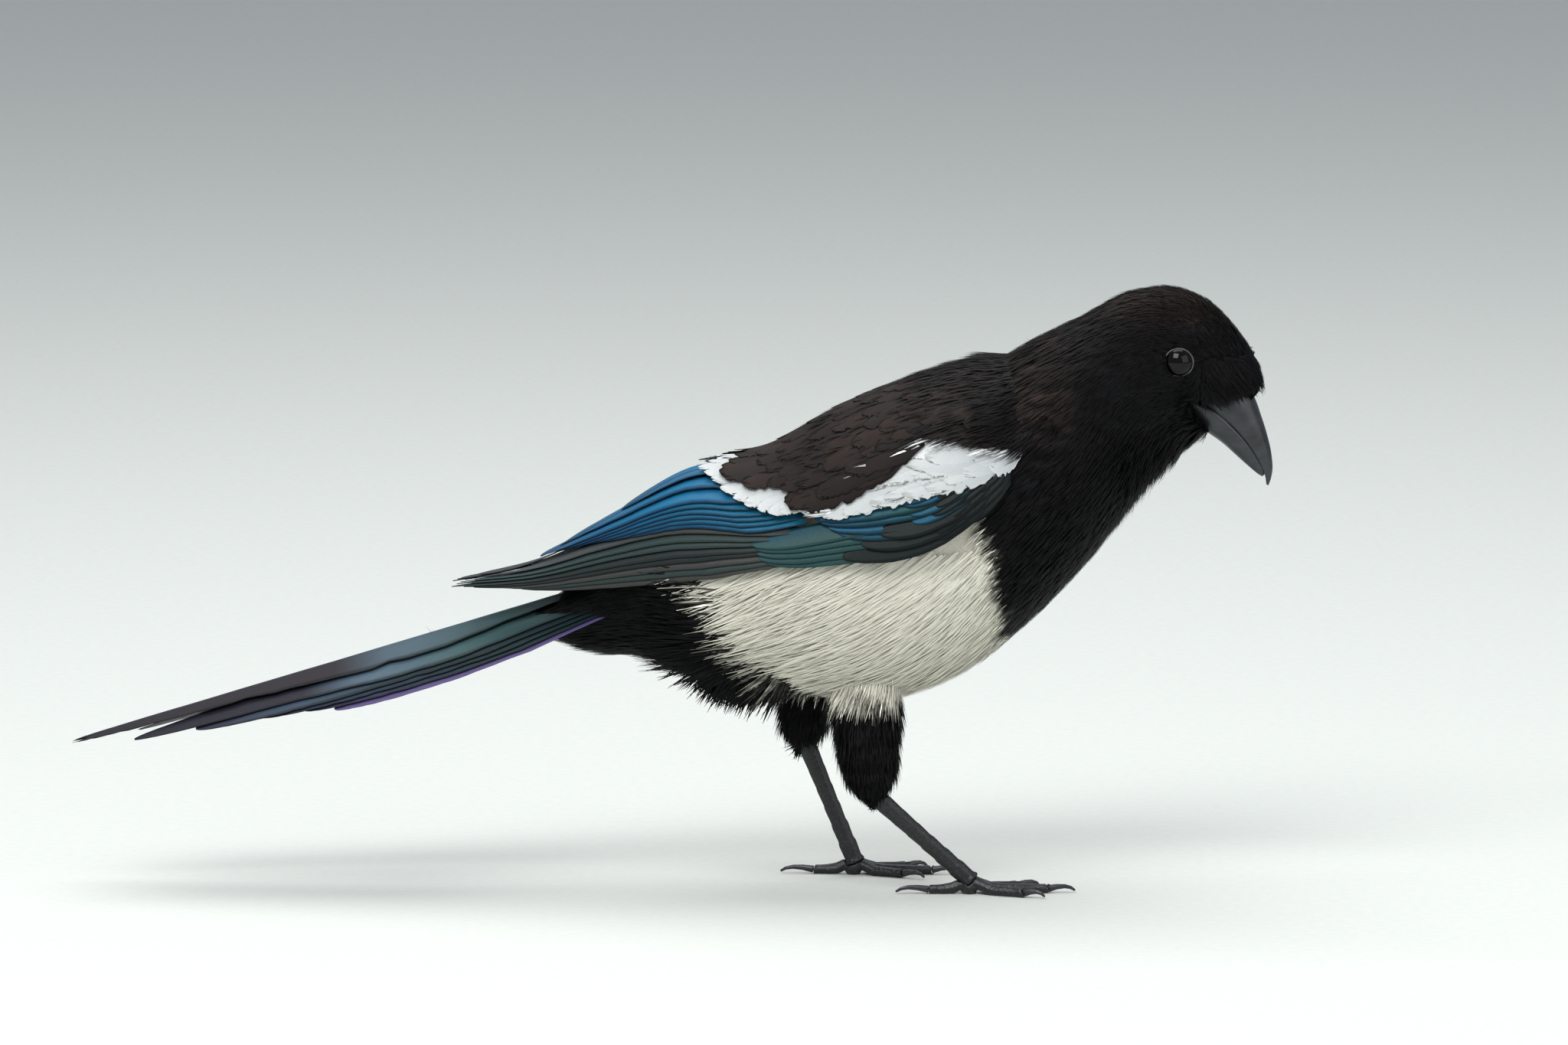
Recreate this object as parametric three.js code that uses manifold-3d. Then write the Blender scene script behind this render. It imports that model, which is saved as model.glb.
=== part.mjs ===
// A Eurasian magpie as a still, life-size model: walking, with its head low and its long tail held level.
// Millimetres. +X is ahead, +Y is the bird's left, +Z is up. The origin is on the floor, under the middle of the bird.
import * as THREE from "three";
import { mergeVertices } from "three/addons/utils/BufferGeometryUtils.js";
import Module from "manifold-3d";

const wasm = await Module();
wasm.setup();

// Driving sizes
const GAP = 0.33; // clearance between neighbouring pieces
const SOCKET = 0.62; // the same, added to the radius of a slender section that lies in a socket
const WELD = 0.02; // corners closer than this become one
const VANE_THICK = 0.6; // a feather's blade
const WING_DEPTH = 5; // how deep the folded wing lies in the outline of the body
const MANTLE_RISE = 3.5; // how far the mantle stands over the folded wing
const EYE = { x: 171.9, y: 13.2, z: 181, radius: 5.6 };
const TAIL = { x: -10, z: 108.2, slope: 16.8, roof: 0.4, thick: 0.5 };
const LEGS = {
  right: { side: -1, hip: [68, 84], ankle: [68.5, 34.5], foot: 102, thigh: [1, 0.86], spread: 20 },
  left: { side: 1, hip: [54, 86], ankle: [45, 48.5], foot: 63, thigh: [0.84, 0.76], spread: 20 },
};
// Half depth and half width of a thigh at shares of its length from hip to ankle
const THIGH = [
  [0, 10, 8],
  [0.3, 10.6, 9],
  [0.58, 10, 8.6],
  [0.82, 9, 7.6],
  [0.94, 6.8, 5.8],
  [1.03, 3.8, 3.6],
];
const THIGH_LEAN = 5; // how much nearer to the middle of the bird its hips are than its ankles
const THIGH_SLACK = 1.5; // how far the middle of a thigh lies behind the line from hip to ankle
const FOOT_HEIGHT = 4.4; // centre of the joint where the toes meet
const HEEL = { radius: 3.1, behind: 0.6, height: 2.3 };
const TARSUS = { depth: 2.95, width: 2.25, scutes: 7, step: 0.25, slim: 0.16, flare: 0.12, plate: 0.78 };
const TOES = [
  { name: "middle", angle: 2, length: 27, claw: 9 },
  { name: "inner", angle: 27, length: 19, claw: 8 },
  { name: "outer", angle: -25, length: 20.5, claw: 7.5 },
  { name: "hind", angle: 183, length: 15, claw: 11 },
];
const TOE_RADIUS = 1.9;
const TOE_PAD = 0.82 * TOE_RADIUS; // height of a toe's middle where it lies on the floor
const TOE_DROP = 8; // length over which a toe comes down from the joint to the floor
const CLAW_CURL = 1.25; // radians

// Outline of the body from tail to bill: x and z of the upper and lower outline, and half of the width.
// Under the folded wings it is the trunk alone, so it is narrower and lower there than the bird looks.
const BODY = [
  { upper: [-34, 106], lower: [-37, 85], half: 9 },
  { upper: [-19.5, 115.5], lower: [-19.5, 80.8], half: 15 },
  { upper: [-1.3, 128], lower: [-1.3, 79], half: 22.5 },
  { upper: [17, 137.5], lower: [14.3, 75.2], half: 29.5 },
  { upper: [35, 142.5], lower: [32.5, 69.8], half: 34.5 },
  { upper: [53.2, 153], lower: [54.5, 66.4], half: 38 },
  { upper: [74, 162], lower: [77.9, 66.4], half: 38.3 },
  { upper: [92.2, 169.5], lower: [100.5, 74.5], half: 37.2 },
  { upper: [107.8, 177], lower: [122.1, 91.8], half: 36 },
  { upper: [121, 186.8], lower: [139, 108.6], half: 33 },
  { upper: [134.5, 194.2], lower: [150.6, 122.8], half: 27.5 },
  { upper: [146.8, 200.2], lower: [159, 136.7], half: 22.8 },
  { upper: [158.4, 204.1], lower: [164.4, 142.7], half: 19.4 },
  { upper: [170.1, 205.1], lower: [169.4, 147.4], half: 17.5 },
  { upper: [181.8, 200.9], lower: [174.4, 151.3], half: 16 },
  { upper: [191.4, 191.7], lower: [178, 153], half: 13.8 },
  { upper: [198.2, 181.2], lower: [181.6, 154.4], half: 11 },
  { upper: [200.6, 171.5], lower: [184.6, 156.4], half: 7.6 },
  { upper: [197.6, 166.5], lower: [188.5, 160], half: 3.6 },
];
// Cuts through the body, each through an upper and a lower point of the outline
const HEAD_CUT = [[157, 133], [144.5, 199]];
const NECK_CUT = [[143, 105], [123, 190]];
const BIB_CUT = [[118.5, 84], [103.5, 190]];
const VENT_CUT = [[21, 66], [5, 140]];
const TAIL_CUT = [[-29.5, 78], [-25, 120]];
const BODY_RINGS = 37;
const BODY_SIDES = 22;

// The folded wing's surface, from tip to shoulder: its lower edge, its crest on the back, and its half width.
const WING = [
  { x: -76, low: 100.4, crest: 105.4, half: 11.5 },
  { x: -46, low: 101.6, crest: 113.2, half: 16.5 },
  { x: -19.5, low: 105, crest: 128.3, half: 23.5 },
  { x: 6.5, low: 108.4, crest: 143.8, half: 32 },
  { x: 32.5, low: 111.8, crest: 148.6, half: 40.3 },
  { x: 58, low: 114.4, crest: 162.4, half: 43.8 },
  { x: 84, low: 118.8, crest: 172.9, half: 44 },
  { x: 104, low: 129.5, crest: 177.8, half: 41.5 },
  { x: 118, low: 140, crest: 183, half: 37.2 },
  { x: 130, low: 150, crest: 189.6, half: 31.5 },
];

// The bill: upper and lower edge and half width of sections from its root to its tip.
const BILL_UPPER = [
  { upper: [192.6, 172.6], lower: [178.2, 167.4], half: 5.6 },
  { upper: [197.6, 168], lower: [184, 163.4], half: 6.3 },
  { upper: [200.5, 160.6], lower: [189, 159.3], half: 5.6 },
  { upper: [202.4, 154.6], lower: [193.4, 154.7], half: 4.7 },
  { upper: [203.8, 148.8], lower: [197.3, 149.5], half: 3.6 },
  { upper: [204.4, 143.2], lower: [200.2, 144.4], half: 2.4 },
  { upper: [203.9, 139.5], lower: [201.8, 140.4], half: 1.3 },
  { upper: [203, 136.9], lower: [202.3, 137.3], half: 0.4 },
];
const BILL_LOWER = [
  { upper: [177.4, 165.6], lower: [172.2, 161.2], half: 5.9 },
  { upper: [182.5, 163.2], lower: [177.7, 158.2], half: 6.2 },
  { upper: [186.7, 159.9], lower: [182.3, 155], half: 5.8 },
  { upper: [190.7, 156], lower: [187, 151.7], half: 5 },
  { upper: [194.4, 151.7], lower: [191.4, 147.8], half: 4 },
  { upper: [197.6, 147.2], lower: [195.6, 144], half: 2.9 },
  { upper: [200.2, 142.8], lower: [199.2, 141], half: 1.7 },
  { upper: [201.2, 140.6], lower: [200.9, 140], half: 0.6 },
];
// Half of a bill section as [share of the half width, share of the height], from its keel to the mouth line.
const BILL_SECTION = [
  [0.16, 1],
  [0.55, 0.82],
  [0.88, 0.46],
  [1, 0.16],
  [0.9, 0],
];

// Flight feathers, each from [x, place up the wing] to [x, place up the wing] of its lower edge, and its width.
const FLIGHT = [
  { from: [34, 0.004], to: [-56, 0.02], width: 9, point: 0.5 },
  { from: [34, 0.05], to: [-67, 0.12], width: 9, point: 0.5 },
  { from: [34, 0.1], to: [-74.5, 0.27], width: 9, point: 0.5 },
  { from: [34, 0.148], to: [-71, 0.47], width: 9, point: 0.45 },
  { from: [34, 0.2], to: [-24, 0.43], width: 12, point: 0.25 },
  { from: [34, 0.265], to: [-33, 0.54], width: 12, point: 0.25 },
  { from: [34, 0.345], to: [-40, 0.65], width: 12.5, point: 0.25 },
  { from: [34, 0.45], to: [-46, 0.74], width: 14, point: 0.3 },
  { from: [34, 0.6], to: [-38, 0.76], width: 13, point: 0.3 },
  { from: [34, 0.765], to: [-16, 0.79], width: 10.5, point: 0.3 },
];
// Coverts on the wing: rows of feathers between two lines, from the lowest to the highest feather of each row.
const COVERT_ROWS = [
  { count: 2, from: [[84, 0.02], [82, 0.1]], to: [[30, 0.03], [28, 0.12]], width: 9, lift: -1.1 },
  { count: 4, from: [[108, 0.06], [100, 0.33]], to: [[55, 0.12], [40, 0.38]], width: 14, lift: -0.2 },
  { count: 2, from: [[113, 0.12], [112, 0.26]], to: [[88, 0.09], [80, 0.25]], width: 12, lift: 0 },
];
// White shoulder feathers, in two rows: along the patch's lower edge behind, and those ahead of them.
const SCAPULAR_ROWS = [
  { count: 4, from: [[54, 0.34], [50, 0.76]], to: [[33, 0.335], [9.5, 0.72]], width: 15, lift: 1.75 },
  { count: 4, from: [[70, 0.33], [118, 0.28]], to: [[43, 0.25], [98, 0.235]], width: 16, lift: 2.25 },
];
// Dark feathers of the mantle that lie over the white ones.
const MANTLE_ROWS = [
  { count: 3, from: [[62, 0.46], [58, 0.8]], to: [[37, 0.42], [22, 0.76]], width: 16, lift: 4.3 },
  { count: 3, from: [[80, 0.5], [76, 0.84]], to: [[54, 0.42], [43, 0.72]], width: 17, lift: 4.6 },
];
// Tail feathers of one side, from the middle of the tail outwards: length, sideways place, width and splay.
const TAIL_FEATHERS = [
  { length: 203, place: 0, width: 22, splay: 0, columns: 2 },
  { length: 181, place: 9.8, width: 19, splay: 0.4 },
  { length: 160, place: 10.6, width: 18, splay: 1.1 },
  { length: 138, place: 11.2, width: 17, splay: 2.1 },
  { length: 122, place: 11.6, width: 16, splay: 3.4 },
  { length: 112, place: 11.8, width: 15, splay: 5.2 },
];
const SHINGLE = { columns: 2, tuck: 0.045 }; // how body feathers lap over each other
const TAIL_LAYER = 0.82; // height from one tail feather to the next
const LEFT_SHORTER = 12; // the left middle tail feather is worn shorter than the right one
const TAIL_START = 12; // where the vanes begin behind the root of the tail
const TAIL_SLIM = { root: 0.55, full: 70 }; // share of a vane's width at its root, and where it is full
const SINK = { ahead: 34, over: 28 }; // flight feathers sink under the coverts ahead of here, over this length
const WORLD = 900; // larger than the bird

const LOOKS = {
  black: { color: 0x0a0a0c, roughness: 0.6 },
  white: { color: 0xe0dfd8, roughness: 0.8 },
  mantle: { color: 0x15110f, roughness: 0.7 },
  wing: { color: 0x1d5a8c, roughness: 0.4 },
  tail: { color: 0x16303a, roughness: 0.4 },
  scales: { color: 0x17181a, roughness: 0.45 },
  horn: { color: 0x1d1f22, roughness: 0.3 },
  eye: { color: 0x0c0705, roughness: 0.05 },
};

// Short helpers
const { lerp, degToRad, clamp } = THREE.MathUtils;
const point = (x, y, z) => new THREE.Vector3(x, y, z);
const ramp = (r) => r * r * (3 - 2 * r);

// The value of one column of a table at x, on a smooth curve through its rows.
function along(table, key, x) {
  const last = table.length - 2;
  let i = 0;
  while (i < last && table[i + 1].x < x) i++;
  const [a, b] = [table[i], table[i + 1]];
  const slope = (p, q) => (q[key] - p[key]) / (q.x - p.x);
  const before = i > 0 ? slope(table[i - 1], b) : slope(a, b);
  const after = i < last ? slope(a, table[i + 2]) : slope(a, b);
  const width = b.x - a.x;
  const u = (x - a.x) / width;
  const bend = u * (1 - u) * width;
  return lerp(a[key], b[key], ramp(u)) + bend * ((1 - u) * before - u * after);
}

// A closed geometry through rings of points. Each ring runs along one face and back along the other,
// so its ends close in strips, and both faces are split into triangles alike.
function skin(rings) {
  const n = rings[0].length;
  const half = n / 2;
  const at = (k, j) => k * n + (j % n);
  const index = [];
  for (let k = 0; k + 1 < rings.length; k++) {
    for (let j = 0; j < n; j++) {
      const [a, b, c, d] = [at(k, j), at(k, j + 1), at(k + 1, j + 1), at(k + 1, j)];
      if (j < half) index.push(a, b, c, a, c, d);
      else index.push(a, b, d, b, c, d);
    }
  }
  const last = rings.length - 1;
  for (let j = 0; j + 1 < half; j++) {
    const mirror = n - 1 - j;
    index.push(at(0, j), at(0, mirror), at(0, mirror - 1), at(0, j), at(0, mirror - 1), at(0, j + 1));
    index.push(at(last, j), at(last, mirror - 1), at(last, mirror));
    index.push(at(last, j), at(last, j + 1), at(last, mirror - 1));
  }
  const geometry = new THREE.BufferGeometry().setFromPoints(rings.flat());
  return geometry.setIndex(index);
}

// A closed geometry as a solid that can be joined and cut, with its faces turned outwards.
function solid(geometry, weld = 1e-4) {
  const bare = new THREE.BufferGeometry().setAttribute("position", geometry.getAttribute("position"));
  bare.setIndex(geometry.getIndex());
  const merged = mergeVertices(bare, weld);
  const vertProperties = merged.getAttribute("position").array;
  const triVerts = new Uint32Array(merged.getIndex().array);
  const made = new wasm.Manifold(new wasm.Mesh({ numProp: 3, vertProperties, triVerts }));
  if (made.volume() > 0) return made;
  return new wasm.Manifold(new wasm.Mesh({ numProp: 3, vertProperties, triVerts: triVerts.reverse() }));
}

const join = (solids) => solids.reduce((all, one) => all.add(one));

// Moves the points of rings outwards by a clearance, and the end rings outwards along the way.
function swell(rings, by) {
  const middles = rings.map((ring) => ring.reduce((sum, p) => sum.add(p), point(0, 0, 0)).divideScalar(ring.length));
  const last = rings.length - 1;
  return rings.map((ring, k) => {
    const push = point(0, 0, 0);
    if (k === 0) push.subVectors(middles[0], middles[1]).setLength(by);
    if (k === last) push.subVectors(middles[last], middles[last - 1]).setLength(by);
    return ring.map((p) => {
      const out = p.clone().sub(middles[k]);
      return p.clone().add(out.setLength(by)).add(push);
    });
  });
}

// Cuts a body at a plane that is square to the XZ plane and passes through two points of it. It keeps
// what lies ahead of the plane (keep = 1) or behind it (keep = -1), less half of the clearance.
function cut(body, [x0, z0], [x1, z1], keep) {
  const run = new THREE.Vector2(x1 - x0, z1 - z0).normalize();
  const normal = new THREE.Vector2(run.y, -run.x).multiplyScalar(Math.sign(run.y) || 1);
  const offset = keep * (GAP / 2 - WORLD / 2);
  const box = new THREE.BoxGeometry(WORLD, WORLD, WORLD);
  box.rotateY(-Math.atan2(normal.y, normal.x));
  box.translate((x0 + x1) / 2 + normal.x * offset, 0, (z0 + z1) / 2 + normal.y * offset);
  return body.subtract(solid(box));
}

// The largest closed surface of a solid, filled and without loose scraps.
function largest(body) {
  const pieces = body.decompose().sort((a, b) => b.volume() - a.volume());
  return pieces[0];
}

function geometryOf(body) {
  const { vertProperties, triVerts } = body.getMesh();
  const geometry = new THREE.BufferGeometry();
  geometry.setAttribute("position", new THREE.BufferAttribute(vertProperties, 3));
  geometry.setIndex(new THREE.BufferAttribute(triVerts, 1));
  return geometry;
}

const scene = new THREE.Group();

// Adds a solid to the scene as a named mesh.
function show(name, body, look) {
  const welded = solid(geometryOf(largest(body).simplify(WELD)), WELD);
  const geometry = geometryOf(largest(welded));
  geometry.computeVertexNormals();
  const mesh = new THREE.Mesh(geometry, new THREE.MeshStandardMaterial(look));
  mesh.name = name;
  scene.add(mesh);
}

// Rings of an oval body between an upper and a lower outline. The oval is a little squarer than an ellipse.
function outlineRings(rows, count, sides) {
  const curve = (read) => new THREE.CatmullRomCurve3(rows.map(read), false, "catmullrom", 0.5);
  const upper = curve((s) => point(s.upper[0], 0, s.upper[1]));
  const lower = curve((s) => point(s.lower[0], 0, s.lower[1]));
  const half = curve((s) => point(s.half, 0, 0));
  const squareness = 0.94;
  const bulge = (v) => Math.sign(v) * Math.abs(v) ** squareness;
  const rings = [];
  for (let k = 0; k < count; k++) {
    const u = k / (count - 1);
    const [top, bottom, width] = [upper.getPoint(u), lower.getPoint(u), half.getPoint(u).x];
    const middle = top.clone().add(bottom).multiplyScalar(0.5);
    const up = top.clone().sub(middle);
    const ring = [];
    for (let j = 0; j < sides; j++) {
      const angle = ((j + 0.5) / sides) * 2 * Math.PI;
      const p = middle.clone().addScaledVector(up, bulge(Math.cos(angle)));
      ring.push(p.setY(width * bulge(Math.sin(angle))));
    }
    rings.push(ring);
  }
  return rings;
}

// Bill sections: a keel on one side and the flat mouth line on the other.
function billRings(rows, keel, mouth) {
  return rows.map((row) => {
    const edge = point(row[mouth][0], 0, row[mouth][1]);
    const rise = point(row[keel][0], 0, row[keel][1]).sub(edge);
    const side = (sign) =>
      BILL_SECTION.map(([w, v]) => edge.clone().addScaledVector(rise, v).setY(sign * w * row.half));
    return [...side(1), ...side(-1).reverse()];
  });
}

// A tapered tube along points, with an oval section: each stop is [point, radius across, radius up].
function tube(stops, sides) {
  const rings = stops.map(([centre, across, up], k) => {
    const before = stops[Math.max(k - 1, 0)][0];
    const after = stops[Math.min(k + 1, stops.length - 1)][0];
    const way = after.clone().sub(before).normalize();
    const sideways = point(0, 1, 0).addScaledVector(way, -way.y).normalize();
    const rise = sideways.clone().cross(way);
    return Array.from({ length: sides }, (_, j) => {
      const angle = ((j + 0.5) / sides) * 2 * Math.PI;
      const p = centre.clone().addScaledVector(sideways, across * Math.sin(angle));
      return p.addScaledVector(rise, up * Math.cos(angle));
    });
  });
  return rings;
}

// A point of the folded wing: x along the bird, t from its lower edge (0) to the crest of the back (1),
// and h outwards from its surface. The far side is mirrored.
function wingPoint(side, x, t, h) {
  const angle = (t * Math.PI) / 2;
  const [low, crest, half] = ["low", "crest", "half"].map((key) => along(WING, key, x));
  const [across, rise] = [half * Math.cos(angle), (crest - low) * Math.sin(angle)];
  const out = new THREE.Vector2(across / half ** 2, rise / (crest - low) ** 2).normalize();
  return point(x, side * (across + h * out.x), low + rise + h * out.y);
}

// Length of the wing's surface across the bird at x, from its lower edge to the crest.
function wingArc(x) {
  const steps = 8;
  let length = 0;
  for (let k = 0; k < steps; k++) {
    length += wingPoint(1, x, k / steps, 0).distanceTo(wingPoint(1, x, (k + 1) / steps, 0));
  }
  return length;
}

// How wide a feather is along its length, as a share of its full width.
function vaneOutline(r, pointed) {
  const root = Math.min(1, 0.35 + 2.2 * r);
  const start = 1 - pointed;
  const tip = r < start ? 1 : Math.sqrt(Math.max(0, 1 - ((r - start) / pointed) ** 2));
  return Math.max(root * tip, 0.09);
}

// One feather of the wing as a thin blade. Its lower edge stands out and its upper edge is tucked in,
// so that each feather overlaps the one below it like a shingle.
function wingVane(side, f) {
  const { steps, columns = 1, tuck = 0.33 } = f;
  const rings = [];
  for (let k = 0; k <= steps; k++) {
    const r = Math.sin(((k / steps) * Math.PI) / 2) ** 0.9;
    const x = lerp(f.from[0], f.to[0], r);
    const low = lerp(f.from[1], f.to[1], r);
    const arc = wingArc(x);
    const full = f.width / arc;
    const spread = (full * vaneOutline(r, f.point ?? 0.35)) / 2;
    const lift = f.lift + (f.sink ?? 0) * (1 - ramp(clamp((SINK.ahead - x) / SINK.over, 0, 1)));
    const face = (depth) =>
      Array.from({ length: columns + 1 }, (_, j) => {
        const t = Math.min(low + full / 2 + spread * ((2 * j) / columns - 1), f.most ?? 0.985);
        return wingPoint(side, x, t, lift - tuck * arc * (t - low) - depth);
      });
    rings.push([...face(0), ...face(VANE_THICK).reverse()]);
  }
  return solid(skin(rings));
}

// A row of such feathers between its lowest and its highest one.
function vaneRow(side, row) {
  const between = (ends, r) => [lerp(ends[0][0], ends[1][0], r), lerp(ends[0][1], ends[1][1], r)];
  return Array.from({ length: row.count }, (_, i) => {
    const r = row.count > 1 ? i / (row.count - 1) : 0;
    return wingVane(side, { ...row, from: between(row.from, r), to: between(row.to, r), steps: 4 });
  });
}

// A closed sheet of the wing's surface: for each x, from t0 to t1, between the heights h0 and h1.
function wingSheet(side, rows, columns) {
  const rings = rows.map(({ x, t, h }) => {
    const face = (height) =>
      Array.from({ length: columns + 1 }, (_, j) => wingPoint(side, x, lerp(t[0], t[1], j / columns), height));
    return [...face(h[1]), ...face(h[0]).reverse()];
  });
  return solid(skin(rings));
}

// Trunk, neck and head
const bodyRings = outlineRings(BODY, BODY_RINGS, BODY_SIDES);
const body = solid(skin(bodyRings));
const bodyRoom = solid(skin(swell(bodyRings, GAP)));
const upperRings = billRings(BILL_UPPER, "upper", "lower");
const lowerRings = billRings(BILL_LOWER, "lower", "upper");

function eyeball(side, radius) {
  const ball = new THREE.SphereGeometry(radius, 14, 8);
  return solid(ball.translate(EYE.x, side * EYE.y, EYE.z));
}

// The rim of the lids round an eye.
function lids(side) {
  const rim = 0.72;
  const out = 3.1;
  const radius = Math.sqrt(EYE.radius ** 2 - out ** 2) + rim * 0.9;
  const ring = new THREE.TorusGeometry(radius, rim, 5, 14).rotateX(Math.PI / 2);
  return solid(ring.translate(EYE.x, side * (EYE.y + out), EYE.z));
}

// Stiff feathers over the nostrils, lying forwards along the root of the upper bill.
function nasalBristles(side) {
  const rows = 3;
  return Array.from({ length: rows }, (_, i) => {
    const r = i / (rows - 1);
    const start = point(lerp(184.5, 197.5, r), side * lerp(8.6, 3.4, r), lerp(168.2, 174.8, r));
    const end = point(lerp(191.5, 202.2, r), side * lerp(6.9, 1.6, r), lerp(160.2, 161, r));
    const middle = start.clone().lerp(end, 0.5).add(point(0.5, side * 0.7, 0.5));
    return solid(skin(tube([[start, 1.1, 1.9], [middle, 0.8, 1.7], [end, 0.4, 0.6]], 6)));
  });
}

function addHead(front) {
  const grown = [...[-1, 1].map(lids), ...[-1, 1].flatMap(nasalBristles)];
  let head = join([front, ...grown]);
  for (const rings of [upperRings, lowerRings]) head = head.subtract(solid(skin(swell(rings, SOCKET))));
  for (const side of [-1, 1]) head = head.subtract(eyeball(side, EYE.radius + GAP));
  show("head", head, LOOKS.black);
  show("bill_upper", solid(skin(upperRings)), LOOKS.horn);
  show("bill_lower", solid(skin(lowerRings)), LOOKS.horn);
  show("eye_right", eyeball(-1, EYE.radius), LOOKS.eye);
  show("eye_left", eyeball(1, EYE.radius), LOOKS.eye);
}

function addTrunk() {
  const between = (rear, front) => cut(cut(body, ...rear, 1), ...front, -1);
  const [head, nape, bib, vent] = [HEAD_CUT, NECK_CUT, BIB_CUT, VENT_CUT];
  addHead(cut(body, ...head, 1));
  show("neck", between(nape, head), LOOKS.black);
  show("breast", between(bib, nape), LOOKS.black);
  const belly = between(vent, bib).subtract(thighRoom("right")).subtract(thighRoom("left"));
  show("belly", belly, LOOKS.white);
  show("rump", between(TAIL_CUT, vent), LOOKS.black);
}

// Wings, shoulder feathers and mantle
function wingCore(side) {
  const deep = GAP - WING_DEPTH;
  const rows = [
    { x: 117, t: [0.04, 0.35], h: [deep, -2.2] },
    { x: 110, t: [0.02, 0.42], h: [deep, -1.6] },
    { x: 102, t: [0.02, 0.72], h: [deep, -1.4] },
    { x: 84, t: [0.01, 0.84], h: [deep, -1.3] },
    { x: 60, t: [0.01, 0.88], h: [deep, -1.3] },
    { x: 38, t: [0.01, 0.92], h: [deep, -1.4] },
    { x: 14, t: [0.03, 0.95], h: [deep, -4] },
  ];
  return wingSheet(side, rows, 5);
}

function addWing(name, side) {
  const flight = FLIGHT.map((f) => wingVane(side, { ...f, lift: 0, sink: -1.6, steps: 4 }));
  const coverts = COVERT_ROWS.flatMap((row) => vaneRow(side, row));
  const wing = join([wingCore(side), ...flight, ...coverts]);
  show(name, wing.subtract(bodyRoom), LOOKS.wing);
}

// Room for the front of the mantle, where it comes down on to the shoulder.
function mantleFront(side) {
  const rows = [
    { x: 130, t: [0.5, 1], h: [-9, 7] },
    { x: 119, t: [0.41, 1], h: [-9, 7] },
    { x: 111, t: [0.43, 1], h: [0.4, 7] },
    { x: 102, t: [0.45, 1], h: [1.7, 7] },
    { x: 92, t: [0.48, 1], h: [2.1, 7] },
  ];
  return wingSheet(side, rows, 6);
}

function scapularPad(side) {
  const rows = [
    { x: 119, t: [0.2, 0.3] },
    { x: 104, t: [0.27, 0.5] },
    { x: 82, t: [0.27, 0.6] },
    { x: 60, t: [0.29, 0.72] },
    { x: 40, t: [0.38, 0.84] },
  ];
  return wingSheet(side, rows.map((row) => ({ ...row, h: [0.65, 1.3] })), 4);
}

function addScapulars(name, side) {
  const rows = SCAPULAR_ROWS.flatMap((row) => vaneRow(side, { ...row, ...SHINGLE, most: 0.95 }));
  const patch = join([scapularPad(side), ...rows]).subtract(mantleFront(side));
  show(name, patch.subtract(bodyRoom), LOOKS.white);
}

// The mantle spans the back between the wings, and its edges lie over the shoulder feathers.
function addMantle() {
  const over = MANTLE_RISE - 0.6;
  const rows = [
    { x: 128, from: 0.55, h: [-7, -0.8] },
    { x: 119, from: 0.44, h: [-7, 0.9] },
    { x: 111, from: 0.46, h: [1, 2] },
    { x: 102, from: 0.49, h: [over - 0.4, MANTLE_RISE - 0.4] },
    { x: 84, from: 0.52, h: [over, MANTLE_RISE] },
    { x: 62, from: 0.54, h: [over, MANTLE_RISE] },
    { x: 44, from: 0.7, h: [over, MANTLE_RISE] },
    { x: 30, from: 0.9, h: [over, MANTLE_RISE] },
  ];
  const core = wingSheet(1, rows.map(({ x, from, h }) => ({ x, t: [from, 2 - from], h })), 8);
  const edge = (side) => MANTLE_ROWS.flatMap((row) => vaneRow(side, { ...row, ...SHINGLE, most: 0.97 }));
  show("mantle", join([core, ...edge(-1), ...edge(1)]).subtract(bodyRoom), LOOKS.mantle);
}

// Tail
// A point of the tail: run back from its root, across it, and h over its ridge. Its two halves slope down
// from the ridge like a low roof.
function tailPoint(run, across, h) {
  const slope = degToRad(TAIL.slope);
  const [level, rise] = [Math.cos(slope), Math.sin(slope)];
  const height = h - TAIL.roof * Math.abs(across);
  return point(TAIL.x - run * level - height * rise, across, TAIL.z - run * rise + height * level);
}

function tailVane(side, order, f) {
  const steps = 6;
  const columns = f.columns ?? 1;
  const layer = order > 0 ? order + 1 : (1 + side) / 2;
  const top = -TAIL_LAYER * layer;
  const length = order === 0 && side > 0 ? f.length - LEFT_SHORTER : f.length;
  const rings = [];
  for (let k = 0; k <= steps; k++) {
    const r = Math.sin(((k / steps) * Math.PI) / 2) ** 0.9;
    const run = lerp(TAIL_START, length, r);
    const centre = f.place + run * Math.tan(degToRad(f.splay));
    const slim = lerp(TAIL_SLIM.root, 1, Math.min(1, run / TAIL_SLIM.full));
    const spread = (f.width * vaneOutline(r, 0.42) * slim) / 2;
    const face = (depth) =>
      Array.from({ length: columns + 1 }, (_, j) => {
        const q = (2 * j) / columns - 1;
        return tailPoint(run, side * (centre + q * spread), top - depth);
      });
    rings.push([...face(0), ...face(TAIL.thick).reverse()]);
  }
  return solid(skin(rings));
}

// The root of the tail with its coverts, which every tail feather grows from.
function tailRoot() {
  const stops = [
    [point(-24, 0, 98.2), 13.5, 15.6],
    [point(-34, 0, 94.6), 13.6, 12.4],
    [point(-44, 0, 90.8), 12.6, 8.8],
    [point(-54, 0, 87.6), 10, 6],
    [point(-66, 0, 84.2), 6, 3.4],
  ];
  return solid(skin(tube(stops, 20)));
}

function addTail() {
  const feathers = [-1, 1].flatMap((side) => TAIL_FEATHERS.map((f, order) => tailVane(side, order, f)));
  const tail = join([tailRoot(), ...feathers]);
  show("tail", cut(tail, ...TAIL_CUT, -1), LOOKS.tail);
}

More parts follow.
